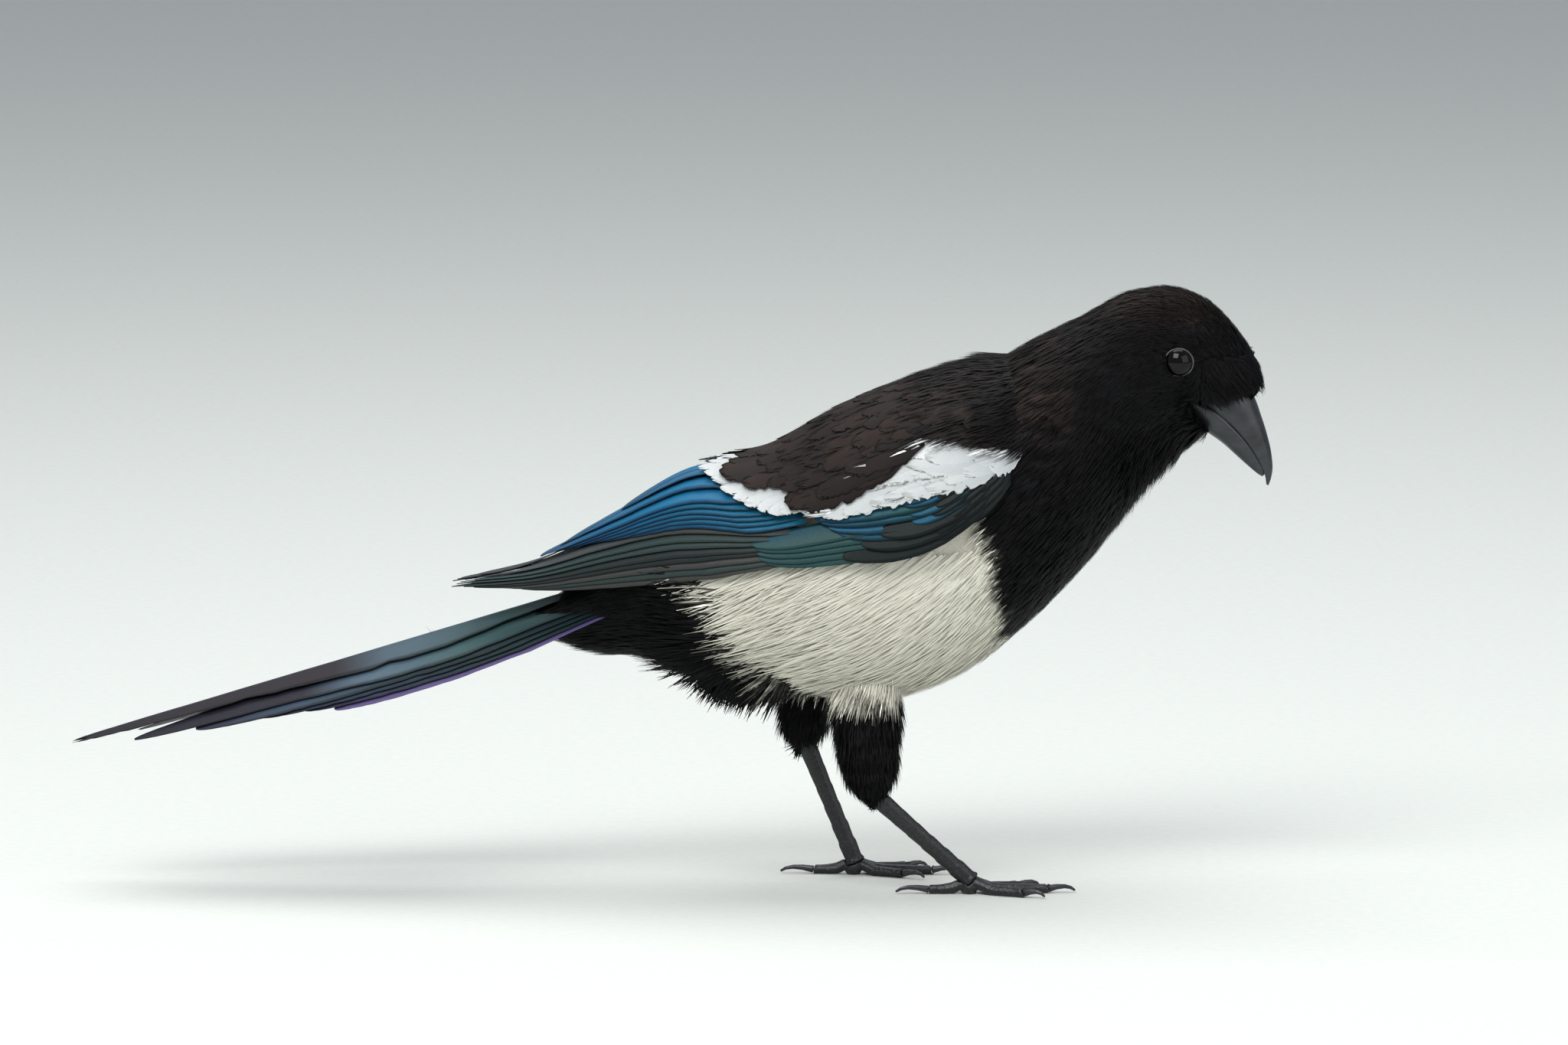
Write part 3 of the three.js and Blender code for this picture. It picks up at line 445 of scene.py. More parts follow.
def back_mesh():
    """The skin under shoulder feathers and mantle, from one side over the back to the other."""
    rings, sides = 110, 110
    thick = 0.6
    xs = np.linspace(128, 16, rings)
    low = np.interp(xs, [14, 21, 26, 32.5, 43, 51, 58, 71, 88, 101, 110, 118, 124],
                    [0.74, 0.62, 0.5, 0.43, 0.33, 0.28, 0.262, 0.27, 0.27, 0.28, 0.25, 0.2, 0.2])[:, None]
    s = np.linspace(0, 1, sides)
    t = low + (2 - 2 * low) * s[None]
    place = np.minimum(t, 2 - t)
    crown = np.interp(xs, [80, 100, 110, 118], [0, 1.4, 1.3, 0])[:, None] * smoothstep(0.6, 0.9, place)
    height = np.interp(xs, [14, 30, 100, 108, 118, 128], [0.2, 0.5, 0.5, 0, -2.4, -6.5])[:, None] + crown
    edge = smoothstep(0, 0.1, np.minimum(s, 1 - s))[None]
    x = np.repeat(xs[:, None], sides, 1)
    outer = wing_point(-1, x, t, height * (0.35 + 0.65 * edge))
    inner = wing_point(-1, x, t, np.minimum(height - thick, -thick))
    p = np.vstack([outer.reshape(-1, 3), inner.reshape(-1, 3)])
    count = rings * sides
    faces = grid_faces(rings, sides, 0, False) + [f[::-1] for f in grid_faces(rings, sides, count, False)]
    rim = ([(k * sides, (k + 1) * sides) for k in range(rings - 1)]
           + [((rings - 1) * sides + j, (rings - 1) * sides + j + 1) for j in range(sides - 1)]
           + [((k + 1) * sides + sides - 1, k * sides + sides - 1) for k in range(rings - 1)]
           + [(j + 1, j) for j in range(sides - 1)])
    faces += [[a, b, b + count, a + count] for a, b in rim]
    mesh = new_mesh("back", p, faces)
    turn_out(mesh)
    spots = np.meshgrid(np.linspace(0.02, 0.98, rings), np.linspace(0.02, 0.98, sides), indexing="ij")
    maps = np.tile(np.stack(spots, -1).reshape(-1, 2), (2, 1))[corner_points(mesh)]
    lie = np.tile((np.gradient(outer, axis=0) + np.array([0, 0, -0.1])).reshape(-1, 3), (2, 1))
    lie /= np.linalg.norm(lie, axis=1)[:, None]
    # white under the shoulder patch and behind the mantle's rear edge, else dark
    place, x = np.tile(place.ravel(), 2), np.tile(x.ravel(), 2)
    wave = ragged(p, 9, 8)
    patch = place - patch_high(x) + 0.035 * smoothstep(92, 84, x) - 0.006 * wave
    rear = rear_edge(place) + 9
    white = np.maximum(smoothstep(0.01, -0.01, patch), smoothstep(1.5, -1.5, x - rear - wave))
    dark = blend(SOOT, BLACK, 0.6 * smoothstep(96, 124, x)[:, None]) * (1 + 0.35 * ragged(p, 14, 4)[:, None])
    tone = blend(dark, hexa("#e2e4e4"), white[:, None])
    dressed(mesh, lie, np.full(len(p), 10.0), np.full(len(p), 0.04), tone, maps)
    outside = np.arange(len(p)) < count
    region = outside * (white <= 0.5) * (0.12 + 0.88 * smoothstep(76, 98, x))
    stored(mesh, "in_mantle", "FLOAT", "POINT", region)
    return mesh


# Tufts and the tree that sets them on a skin
def tuft_mesh(name, barbs, seed, droop, spread, segments=3):
    """A lock of narrow barbs, one long and one wide at the root, that lies along +Y and rises a little."""
    rng = np.random.default_rng(seed)
    points, faces, spots = [], [], []
    for b in range(barbs):
        share = (b + 0.5) / barbs - 0.5
        aim = share * 2 * spread + rng.normal() * 0.06
        reach = 1 - 0.5 * abs(share) - rng.uniform(0, 0.12)
        start = len(points)
        for k in range(segments + 1):
            r = k / segments
            middle = np.array([share * 0.9 + aim * r * 0.9, r * reach, droop * sin(r * 2.0) * (1 - 0.25 * r)])
            half = 0.5 / barbs * 1.5 * (1 - r) ** 0.6 + 0.02
            tilt = 0.05 * (b % 2)
            points += [middle + [-half, 0, tilt], middle + [half, 0, tilt]]
            spots += [(0.5 + middle[0] * 0.4 - half * 0.4, r), (0.5 + middle[0] * 0.4 + half * 0.4, r)]
            if k:
                a = start + 2 * k - 2
                faces.append([a, a + 1, a + 3, a + 2])
    mesh = new_mesh(name, points, faces, 1)
    stored(mesh, "leaf", "FLOAT2", "CORNER", np.clip(np.array(spots)[corner_points(mesh)], 0, 1))
    return mesh


def tuft_store(name, barbs, **shape):
    """A collection of four such locks, each a little different."""
    store = bpy.data.collections.new(name)
    for seed in range(4):
        lock = f"{name}_{seed}"
        store.objects.link(bpy.data.objects.new(lock, tuft_mesh(lock, barbs, seed, **shape)))
    return store


def plumage_tree():
    """Geometry Nodes: tufts spread over a skin, along its lie, each a small patch of the skin's own map."""
    tree = bpy.data.node_groups.new("plumage", "GeometryNodeTree")
    for name, kind in (("Skin", "Geometry"), ("Region", "String"), ("Tufts per square metre", "Float"),
                       ("Tuft width", "Float"), ("Stray", "Float"), ("Seed", "Int"), ("Tufts", "Collection"),
                       ("Plumage", "Material")):
        tree.interface.new_socket(name, in_out="INPUT", socket_type="NodeSocket" + kind)
    tree.interface.new_socket("Coat", in_out="OUTPUT", socket_type="NodeSocketGeometry")
    given = add(tree, "NodeGroupInput").outputs
    seed = given["Seed"]
    read = {}
    for name, kind in (("lie", "FLOAT_VECTOR"), ("lift", "FLOAT"), ("length", "FLOAT"),
                       ("leaf", "FLOAT_VECTOR"), ("root_uv", "FLOAT_VECTOR")):
        read[name] = add(tree, "GeometryNodeInputNamedAttribute", {"data_type": kind}, Name=name).outputs[0]
    drawn = {}
    for name, low, high in (("length", 0.7, 1.15), ("width", 0.75, 1.3), ("shade", 0.85, 1.12)):
        drawn[name] = add(tree, "FunctionNodeRandomValue", {"data_type": "FLOAT"}, _2=low, _3=high,
                          Seed=seed).outputs[1]
    region = add(tree, "GeometryNodeInputNamedAttribute", {"data_type": "FLOAT"}, Name=given["Region"])
    density = add(tree, "ShaderNodeMath", {"operation": "MULTIPLY"}, _0=region.outputs[0],
                  _1=given["Tufts per square metre"])
    spread = add(tree, "GeometryNodeDistributePointsOnFaces", Mesh=given["Skin"], Density=density.outputs[0],
                 Seed=seed)
    # each tuft strays a little from the lie, and leans back from the skin by its rise
    chance = add(tree, "FunctionNodeRandomValue", {"data_type": "FLOAT_VECTOR"}, _0=(-1, -1, -1),
                 _1=(1, 1, 1), Seed=seed)
    stray = add(tree, "ShaderNodeVectorMath", {"operation": "SCALE"}, _0=chance.outputs[0],
                Scale=given["Stray"])
    lie = add(tree, "ShaderNodeVectorMath", {"operation": "ADD"}, _0=read["lie"],
              _1=stray.outputs[0]).outputs[0]
    lean = add(tree, "ShaderNodeVectorMath", {"operation": "SCALE"}, _0=lie, Scale=read["lift"])
    up = add(tree, "ShaderNodeVectorMath", {"operation": "SUBTRACT"}, _0=spread.outputs["Normal"],
             _1=lean.outputs[0])
    turn = add(tree, "FunctionNodeAxesToRotation", {"primary_axis": "Z", "secondary_axis": "Y"},
               _0=up.outputs[0], _1=lie)
    length = add(tree, "ShaderNodeMath", {"operation": "MULTIPLY"}, _0=read["length"], _1=drawn["length"])
    width = add(tree, "ShaderNodeMath", {"operation": "MULTIPLY"}, _0=given["Tuft width"], _1=drawn["width"])
    size = add(tree, "ShaderNodeCombineXYZ", X=width.outputs[0], Y=length.outputs[0], Z=length.outputs[0])
    kinds = add(tree, "GeometryNodeCollectionInfo", Collection=given["Tufts"], Separate_Children=True,
                Reset_Children=True)
    which = add(tree, "FunctionNodeRandomValue", {"data_type": "INT"}, _4=0, _5=3, Seed=seed)
    shade = add(tree, "GeometryNodeStoreNamedAttribute", {"data_type": "FLOAT", "domain": "POINT"},
                Geometry=spread.outputs["Points"], Name="shade", Value=drawn["shade"])
    tufts = add(tree, "GeometryNodeInstanceOnPoints", Points=shade.outputs[0], Instance=kinds.outputs[0],
                Pick_Instance=True, Instance_Index=which.outputs[2], Rotation=turn.outputs[0],
                Scale=size.outputs[0])
    whole = add(tree, "GeometryNodeRealizeInstances", Geometry=tufts.outputs[0])
    # a tuft takes a patch of the map as small as this around its root
    patch = add(tree, "ShaderNodeVectorMath", {"operation": "MULTIPLY"}, _0=read["leaf"],
                _1=(0.003, 0.003, 0))
    place = add(tree, "ShaderNodeVectorMath", {"operation": "ADD"}, _0=read["root_uv"], _1=patch.outputs[0])
    mapped = add(tree, "GeometryNodeStoreNamedAttribute", {"data_type": "FLOAT2", "domain": "CORNER"},
                 Geometry=whole.outputs[0], Name="OFBake", Value=place.outputs[0])
    painted = add(tree, "GeometryNodeSetMaterial", Geometry=mapped.outputs[0], Material=given["Plumage"])
    add(tree, "NodeGroupOutput", Coat=painted.outputs[0])
    return tree


def grow(tree, skin, region, per_square_mm, width, tufts, material, seed, stray=0.14):
    """Runs the plumage tree on a copy of a skin and keeps its result as a plain mesh."""
    name = "coat_" + region
    holder = new_piece("holder", skin.data)
    growth = holder.modifiers.new("plumage", "NODES")
    growth.node_group = tree
    values = {"Region": "in_" + region, "Tufts per square metre": per_square_mm / MM**2,
              "Tuft width": width * MM, "Stray": stray, "Seed": seed, "Tufts": tufts, "Plumage": material}
    for item in tree.interface.items_tree:
        if item.in_out == "INPUT" and item.name in values:
            growth[item.identifier] = values[item.name]
    graph = bpy.context.evaluated_depsgraph_get()
    mesh = bpy.data.meshes.new_from_object(holder.evaluated_get(graph), preserve_all_data_layers=True,
                                           depsgraph=graph)
    bpy.data.objects.remove(holder)
    mesh.name = name
    for spare in ("in_" + region, "lie", "length", "lift", "root_uv"):
        if spare in mesh.attributes:
            mesh.attributes.remove(mesh.attributes[spare])
    return new_piece(name, mesh)


# Single feathers
def vane(shape, point_at, tone, length, rng, steps=26, columns=6, thick=0.28, wear=0.0, comb=4.0):
    """One feather as a thin closed blade. shape(r) gives its half width, point_at(r, across, h) its surface.

    r runs from root to tip and q from rim to rim. Wear cuts notches about comb millimetres long into the rims
    and the tip.
    """
    seed = int(rng.integers(99))
    r = np.sin(np.linspace(0, 1, steps + 1) * pi / 2) ** 0.85
    rr, qq = np.meshgrid(r, np.linspace(-1, 1, columns + 1), indexing="ij")
    none = np.zeros(rr.size)
    along = np.stack([rr.ravel() * length, none, np.sign(qq.ravel()) * 9], -1)
    over = np.stack([qq.ravel() * 6, none, none], -1)
    notch = 1 - wear * np.abs(ragged(along, comb, seed).reshape(rr.shape)) * np.abs(qq) ** 3
    rr = rr * (1 - 0.35 * wear * np.abs(ragged(over, comb, seed).reshape(rr.shape)) * smoothstep(0.7, 1, rr))
    ridge = 0.22 * np.exp(-((qq - 0.1) / 0.18) ** 2) * (1 - rr)
    ruffle = 0.03 * np.sin(rr * length / 4.7 + rng.uniform(0, 6)) * np.abs(qq)
    half = shape(rr)
    outer = point_at(rr, qq * notch * half, ridge + ruffle)
    inner = point_at(rr, qq * notch * half, ridge * 0.3 + ruffle - thick * (1 - 0.6 * np.abs(qq) ** 2))
    points = np.concatenate([outer, inner[:, ::-1]], 1).reshape(-1, 3)
    colours = tone(rr, qq)
    colours = np.concatenate([colours, colours[:, ::-1]], 1).reshape(-1, 4)
    spots = np.stack([rr * length, qq * half], -1)
    spots = np.concatenate([spots, spots[:, ::-1]], 1).reshape(-1, 2)
    return points, tube_faces(steps + 1, 2 * (columns + 1)), colours, spots


def feather_piece(name, feathers, material):
    """Many feathers as one piece, with their colours and the map of their barbs."""
    points, faces, colours, spots = [], [], [], []
    start = 0
    for p, f, c, s in feathers:
        points.append(p)
        faces += [[v + start for v in face] for face in f]
        colours.append(c)
        spots.append(s)
        start += len(p)
    mesh = new_mesh(name, np.vstack(points), faces)
    stored(mesh, "tone", "FLOAT_COLOR", "POINT", np.vstack(colours))
    stored(mesh, "vane", "FLOAT2", "CORNER", np.vstack(spots)[corner_points(mesh)])
    return new_piece(name, mesh, material)


def half_width(width, point, root=0.35, grow_by=2.2):
    """A feather's half width along its length: narrow at the root, and rounded over its last share, point."""
    def shape(r):
        tip = np.where(r < 1 - point, 1.0, np.sqrt(np.maximum(0, 1 - ((r - 1 + point) / point) ** 2)))
        return np.maximum(np.minimum(1, root + grow_by * r) * tip, 0.03) * width / 2
    return shape


def blend_tone(stops, edge, edge_share=0.25, rim=None, rim_side=-1):
    """Colours along a feather, with an edge colour towards its rims, and a last one over one rim if given."""
    places = [place for place, _ in stops]
    colours = np.array([hexa(code) for _, code in stops])

    def tone(r, q):
        made = np.stack([np.interp(r, places, colours[:, c]) for c in range(4)], -1)
        made = blend(made, hexa(edge), smoothstep(1 - edge_share, 1, np.abs(q))[..., None])
        if rim:
            made = blend(made, hexa(rim), smoothstep(-0.3, 0.4, rim_side * q)[..., None])
        return made
    return tone


def contour_feather(side, root, tip, width, lift, tone, rng, steps=26, wear=0.35, rise=0.9, dive=0.6,
                    quill=0.5):
    """A soft feather of the back from root to tip, each x and place up the wing.

    Its tip rises over the next one behind it, and its root dives under the neck.
    """
    bend = rng.uniform(-0.02, 0.02)
    seat = lift - 0.4

    def point_at(r, across, h):
        x = root[0] + (tip[0] - root[0]) * r
        t = root[1] + (tip[1] - root[1]) * r + bend * np.sin(pi * r) + across / np.interp(x, ARC_X, ARC)
        sunk = dive * smoothstep(98, 118, x)
        return wing_point(side, x, t, seat - sunk + rise * r - 0.035 * across - 0.02 * across**2 + h)
    length = abs(root[0] - tip[0])
    return vane(half_width(width, 0.55, quill), point_at, tone, length, rng, steps, 12, 0.2, wear, 1.7)


def white_feathers(material):
    """The white feathers of both shoulders: a front patch, and a strip behind the mantle."""
    made = []
    silky = blend_tone([(0, "#9a9fa2"), (0.5, "#b2b6b7"), (1, "#c2c4c3")], "#c8cac8", 0.3)
    # tips as x and place up the wing
    behind = [(9.4, 0.82), (11.5, 0.74), (14, 0.665), (17, 0.585), (21, 0.51), (25, 0.455), (29, 0.41),
              (33, 0.375), (37, 0.36), (13, 0.89), (17, 0.96)]
    low = [(106, 0.21), (100, 0.24), (93, 0.235), (86, 0.232), (79, 0.236), (72, 0.24), (65, 0.238),
           (58, 0.22), (51, 0.235), (44, 0.27)]
    row_step = 0.068
    for side in (-1, 1):
        rng = np.random.default_rng(5)
        for x, t in behind:
            made.append(contour_feather(side, (x + 24, t + 0.02), (x, t), 9.5, 0.6, silky, rng))
        for row in range(4):
            for x, t in low:
                place = t + row_step * row + 0.035
                if row and place + 0.06 > patch_high(x):
                    continue
                ahead = min(x + 34, 119)
                root = (ahead, min(place + 0.05 * (1 - row / 4), patch_high(ahead) - 0.02))
                tip = (x + rng.uniform(-2, 2), place)
                made.append(contour_feather(side, root, tip, 10, 0.6 + 0.1 * row, silky, rng, 30, 0.6, 0.35,
                                            quill=0.12))
    return feather_piece("shoulder_feathers", made, material)


def mantle_feathers(material):
    """Brown black feathers over both shoulders and the middle of the back."""
    made = []
    rng = np.random.default_rng(8)
    for side in (-1, 1):
        # tips along the rear edge and over the white patch, then rows over the rest,
        # each as x, place up the wing and width
        spots = [(rear_edge(t), t, 11) for t in np.arange(0.35, 0.98, 0.06)]
        spots += [(x, patch_high(x) + 0.075, 12) for x in np.arange(44, 104, 5)]
        for n, x in enumerate(np.arange(30, 94, 8)):
            for t in np.arange(0.965 - 0.05 * (n % 2), 0.2, -0.1):
                if x > rear_edge(t) + 4 and (t > patch_high(x) + 0.12 or x < 45):
                    spots.append((x + rng.uniform(-3, 3), t, rng.uniform(12, 16)))
        for x, t, width in spots:
            dark = ["#171210", "#1c1512", "#211814"][rng.integers(3)]
            tone = blend_tone([(0, "#0e0b0a"), (0.55, dark), (1, dark)], "#130f0d", 0.35)
            t = t + rng.uniform(-0.015, 0.015)
            root = (min(x + 27, 113), min(t + 0.07 * (1 - t), 1))
            lift = 1.8 + rng.uniform(-0.15, 0.15)
            made.append(contour_feather(side, root, (x, t), width, lift, tone, rng, dive=2))
    return feather_piece("mantle_feathers", made, material)


ROOTS_UNDER = -1.4  # height of the flight feathers' roots, under the coverts


def wing_feather(side, start, end, width, lift, tone, rng, point, tuck, sink=0.0, steps=26):
    """A feather of the folded wing. Its lower edge runs from start to end, each x and place up the wing.

    Tuck turns its upper rim under the next one, and sink lowers its root.
    """
    stray = rng.uniform(-1, 1, 3)
    start = (start[0], start[1] + 0.006 * stray[0])
    end = (end[0] + 1.2 * stray[1], end[1] + 0.009 * stray[2])

    def point_at(r, across, h):
        x = start[0] + (end[0] - start[0]) * r
        low = start[1] + (end[1] - start[1]) * r
        arc = np.interp(x, ARC_X, ARC)
        t = np.minimum(low + (across + width / 2) / arc, 0.985)
        down = sink * smoothstep(8, 44, x)
        return wing_point(side, x, t, lift + down - tuck * arc * (t - low) + h)
    length = abs(end[0] - start[0])
    return vane(half_width(width, point), point_at, tone, length, rng, steps, wear=0.05)


def wing_piece(name, side, material):
    """One folded wing, tier by tier from the primaries to the small coverts of the shoulder."""
    rng = np.random.default_rng(7)
    made = []

    def lay(start, end, width, lift, tone, *shape):
        made.append(wing_feather(side, start, end, width, lift, tone, rng, *shape))
    # primaries, of which only the edges show
    tips = [(-52, 0.0), (-59, 0.06), (-66, 0.13), (-71, 0.2), (-74.5, 0.28), (-73.5, 0.37), (-70, 0.46),
            (-64, 0.55)]
    grey = [(0, "#1b2c2c"), (0.3, "#213030"), (0.6, "#2a2a29"), (1, "#383230")]
    for i, tip in enumerate(tips):
        rim = ["#2e3a38", "#222826", "#3a3a38"][rng.integers(3)]
        # the black towards the upper rim is painted shadow where the next primary lies over it; the lower rim
        # keeps its own paler colour
        tone = blend_tone(grey, "#080808", 0.3, rim)
        lay((44, 0.002 + 0.024 * i), tip, 8.5, 0.0, tone, 0.45, 0.36, ROOTS_UNDER)
    # secondaries and tertials
    blue = blend_tone([(0, "#0f5c74"), (0.4, "#146488"), (0.8, "#185a82"), (1, "#183c60")], "#0a1c30", 0.12)
    for low, x, t in ((0.2, -22, 0.42), (0.228, -27, 0.465), (0.26, -32, 0.51), (0.295, -36, 0.56),
                      (0.335, -40, 0.61)):
        lay((46, low), (x, t), 12.5, 0.0, blue, 0.25, 0.26, ROOTS_UNDER)
    deep = blend_tone([(0, "#10547a"), (0.5, "#17658c"), (1, "#154466")], "#0d2238", 0.05)
    for low, x, t, width in ((0.39, -44, 0.67, 15), (0.52, -39, 0.755, 19), (0.7, -17, 0.79, 17)):
        lay((44, low), (x, t), width, 0.1, deep, 0.3, 0.2, ROOTS_UNDER)
    # coverts of the primaries, then the greater and the median ones
    hand = blend_tone([(0, "#12262a"), (0.5, "#1d424c"), (1, "#1a4452")], "#06090a", 0.2, "#264444")
    for i in range(5):
        low = 0.01 + 0.03 * i
        lay((86, low), (31 - i, low + 0.012), 8, -0.9 + 0.08 * i, hand, 0.3, 0.3, 0.0, 16)
    teals = [blend_tone([(0, "#0f2624"), (0.45, code), (1, "#165474")], "#081418", 0.16)
             for code in ("#1a4a4c", "#185066", "#164e5c")]
    for i in range(9):
        r = i / 8
        start, end = (108 - 8 * r, 0.06 + 0.28 * r), (55 - 20 * r, 0.11 + 0.28 * r)
        lay(start, end, 10.5, -0.2, teals[i % 3], 0.32, 0.28, 0.0, 16)
    for i in range(7):
        r = i / 6
        start, end = (111 - 3 * r, 0.1 + 0.2 * r), (82 - 8 * r, 0.075 + 0.2 * r)
        lay(start, end, 8.5, 0.1, teals[(i + 1) % 3], 0.4, 0.22, 0.0, 14)
    # black ones at the bend of the wing, and three rows of small coverts
    night = blend_tone([(0, "#080b0b"), (0.6, "#0e1817"), (1, "#0b1514")], "#050707")
    for i in range(3):
        start, end = (112 - 2 * i, 0.03 * i), (58 + 6 * i, 0.01 + 0.035 * i)
        lay(start, end, 7.5, 0.2 + 0.15 * i, night, 0.35, 0.25, 0.0, 16)
    for row in range(3):
        x = 115 - 6 * row
        for i in range(8):
            r = i / 7
            lay((x, 0.03 + 0.26 * r), (x - 14, 0.01 + 0.24 * r), 7, 0.1 * row, night, 0.5, 0.2, 0.0, 9)
    return feather_piece(name, made, material)


# The tail's feathers from the middle outwards: length, place across, width, splay in degrees, colours along
# them, edge colour and its share. The outermost has a purple rim.
TAIL_FEATHERS = [
    (203, 2.5, 21, 0.1, [(0, "#1a2a2a"), (0.2, "#2c4644"), (0.4, "#465862"), (0.5, "#211a18"), (1, "#1b1412")],
     ("#101314", 0.16)),
    (181, 8.8, 20, 0.5, [(0, "#1a2c2c"), (0.3, "#34504e"), (0.52, "#4c5e6c"), (0.64, "#201d22"), (1, "#181418")],
     ("#0e1214", 0.16)),
    (160, 10.2, 19, 1.2, [(0, "#0f1f1e"), (0.4, "#1d3232"), (0.75, "#30404e"), (1, "#241f2a")], ("#0a0f11", 0.2)),
    (138, 11, 18, 2.2, [(0, "#122423"), (0.4, "#1e3434"), (0.75, "#34445a"), (1, "#282232")], ("#0b1012", 0.2)),
    (122, 11.6, 17, 3.5, [(0, "#122625"), (0.4, "#203838"), (0.8, "#343c54"), (1, "#281e33")], ("#0c0f14", 0.2)),
    (112, 12, 16, 5.3, [(0, "#2a3040"), (0.4, "#3a3852"), (0.8, "#322c44"), (1, "#241c2c")],
     ("#12141a", 0.1, "#50466e", 1)),
]
TAIL_HIDDEN = 12  # length of each feather under the body
TAIL_LAYER = 0.82  # step down from one feather to the next
LEFT_SHORTER = 12  # how much shorter the worn left middle feather is


def tail_point(run, across, h):
    """A point of the tail: run back from its root, across it, and h over it, where both halves slope down."""
    level, rise = cos(TAIL["slope"]), sin(TAIL["slope"])
    h = h - TAIL["roof"] * (np.sqrt(across**2 + 9) - 3)
    return np.stack([TAIL["x"] - run * level - h * rise, across, TAIL["z"] - run * rise + h * level], -1)


def tail_feather(side, order, rng):
    """One feather of the tail. Order 0 lies in the middle, on top of the others."""
    length, place, width, splay, stops, edge = TAIL_FEATHERS[order]
    middle = order == 0
    layer = (1 + side) / 2 if middle else order + 1
    reach = length - LEFT_SHORTER if middle and side > 0 else length
    taper = [1, 1, 0.6, 0.5] if order < 2 else [1, 1, 0.9, 0.8]

    def point_at(r, across, h):
        run = TAIL_HIDDEN + (reach - TAIL_HIDDEN) * r
        centre = place + run * np.tan(radians(splay))
        slim = (0.55 + 0.45 * np.minimum(1, run / 70)) * np.interp(r, [0, 0.45, 0.7, 1], taper)
        sag = -0.004 * (across * slim) ** 2
        return tail_point(run, side * (centre + across * slim), h + sag - TAIL_LAYER * layer)
    worn = 0.16 if middle else 0.05
    return vane(half_width(width, 0.42), point_at, blend_tone(stops, *edge), reach, rng, 44, 8, wear=worn)


def tail_piece(material):
    rng = np.random.default_rng(11)
    made = [tail_feather(side, order, rng) for order in range(len(TAIL_FEATHERS)) for side in (-1, 1)]
    return feather_piece("tail_feathers", made, material)


# Materials
def plumage_material(name, rough, sheen, sheen_tint, shine, low, high):
    """Contour feathers: soft barbs in locks, with little gloss, and fine streaks of grain and painted highlight.

    Colour comes from the markings, each tuft has its own shade, and the streaks run from low to high of it.
    """
    material, tree = blank_material(name)
    tone = add(tree, "ShaderNodeAttribute", {"attribute_name": "tone"}).outputs["Color"]
    shade = add(tree, "ShaderNodeAttribute", {"attribute_name": "shade"}).outputs["Fac"]
    place = add(tree, "ShaderNodeTexCoord").outputs["Object"]
    leaf = add(tree, "ShaderNodeUVMap", {"uv_map": "leaf"}).outputs[0]
    stretch = add(tree, "ShaderNodeMapping", Vector=leaf, Scale=(16, 1.6, 1))
    mixed = add(tree, "ShaderNodeVectorMath", {"operation": "MULTIPLY_ADD"}, _0=place, _1=(260, 260, 260),
                _2=stretch.outputs[0])
    # painted highlights: on dark plumage the bright streaks stand for light glinting on the barbs
    barbs_and_glints = add(tree, "ShaderNodeTexNoise", Vector=mixed.outputs[0], Scale=1.0, Detail=3.0, Roughness=0.6)
    amount = add(tree, "ShaderNodeMapRange", {"interpolation_type": "SMOOTHSTEP"}, Value=barbs_and_glints.outputs["Fac"],
                 From_Min=0.42, From_Max=0.75, To_Min=low, To_Max=high).outputs[0]
    both = add(tree, "ShaderNodeMath", {"operation": "MULTIPLY"}, _0=shade, _1=amount).outputs[0]
    colour = add(tree, "ShaderNodeVectorMath", {"operation": "SCALE"}, _0=tone, Scale=both).outputs[0]
    bump = add(tree, "ShaderNodeBump", Strength=0.25, Distance=0.0004, Height=barbs_and_glints.outputs["Fac"])
    surface = add(tree, "ShaderNodeBsdfPrincipled", Base_Color=colour, Normal=bump.outputs[0], Roughness=rough,
                  Sheen_Weight=sheen, Sheen_Roughness=0.4, Sheen_Tint=hexa(sheen_tint), IOR=1.5,
                  Specular_IOR_Level=shine)
    add(tree, "ShaderNodeOutputMaterial", Surface=surface.outputs[0])
    return material


def down_material():
    """Down: the dull fluff under the tufts, in the colour of the feathers above it."""
    material, tree = blank_material("down")
    tone = add(tree, "ShaderNodeAttribute", {"attribute_name": "tone"}).outputs["Color"]
    place = add(tree, "ShaderNodeTexCoord").outputs["Object"]
    fluff = add(tree, "ShaderNodeTexNoise", Vector=place, Scale=1400.0, Detail=4.0)
    amount = add(tree, "ShaderNodeMapRange", Value=fluff.outputs["Fac"], To_Min=0.75, To_Max=1.05).outputs[0]
    colour = add(tree, "ShaderNodeVectorMath", {"operation": "SCALE"}, _0=tone, Scale=amount).outputs[0]
    bump = add(tree, "ShaderNodeBump", Strength=0.6, Distance=0.0005, Height=fluff.outputs["Fac"])
    surface = add(tree, "ShaderNodeBsdfPrincipled", Base_Color=colour, Normal=bump.outputs[0], Roughness=0.9,
                  Specular_IOR_Level=0.1)
    add(tree, "ShaderNodeOutputMaterial", Surface=surface.outputs[0])
    return material


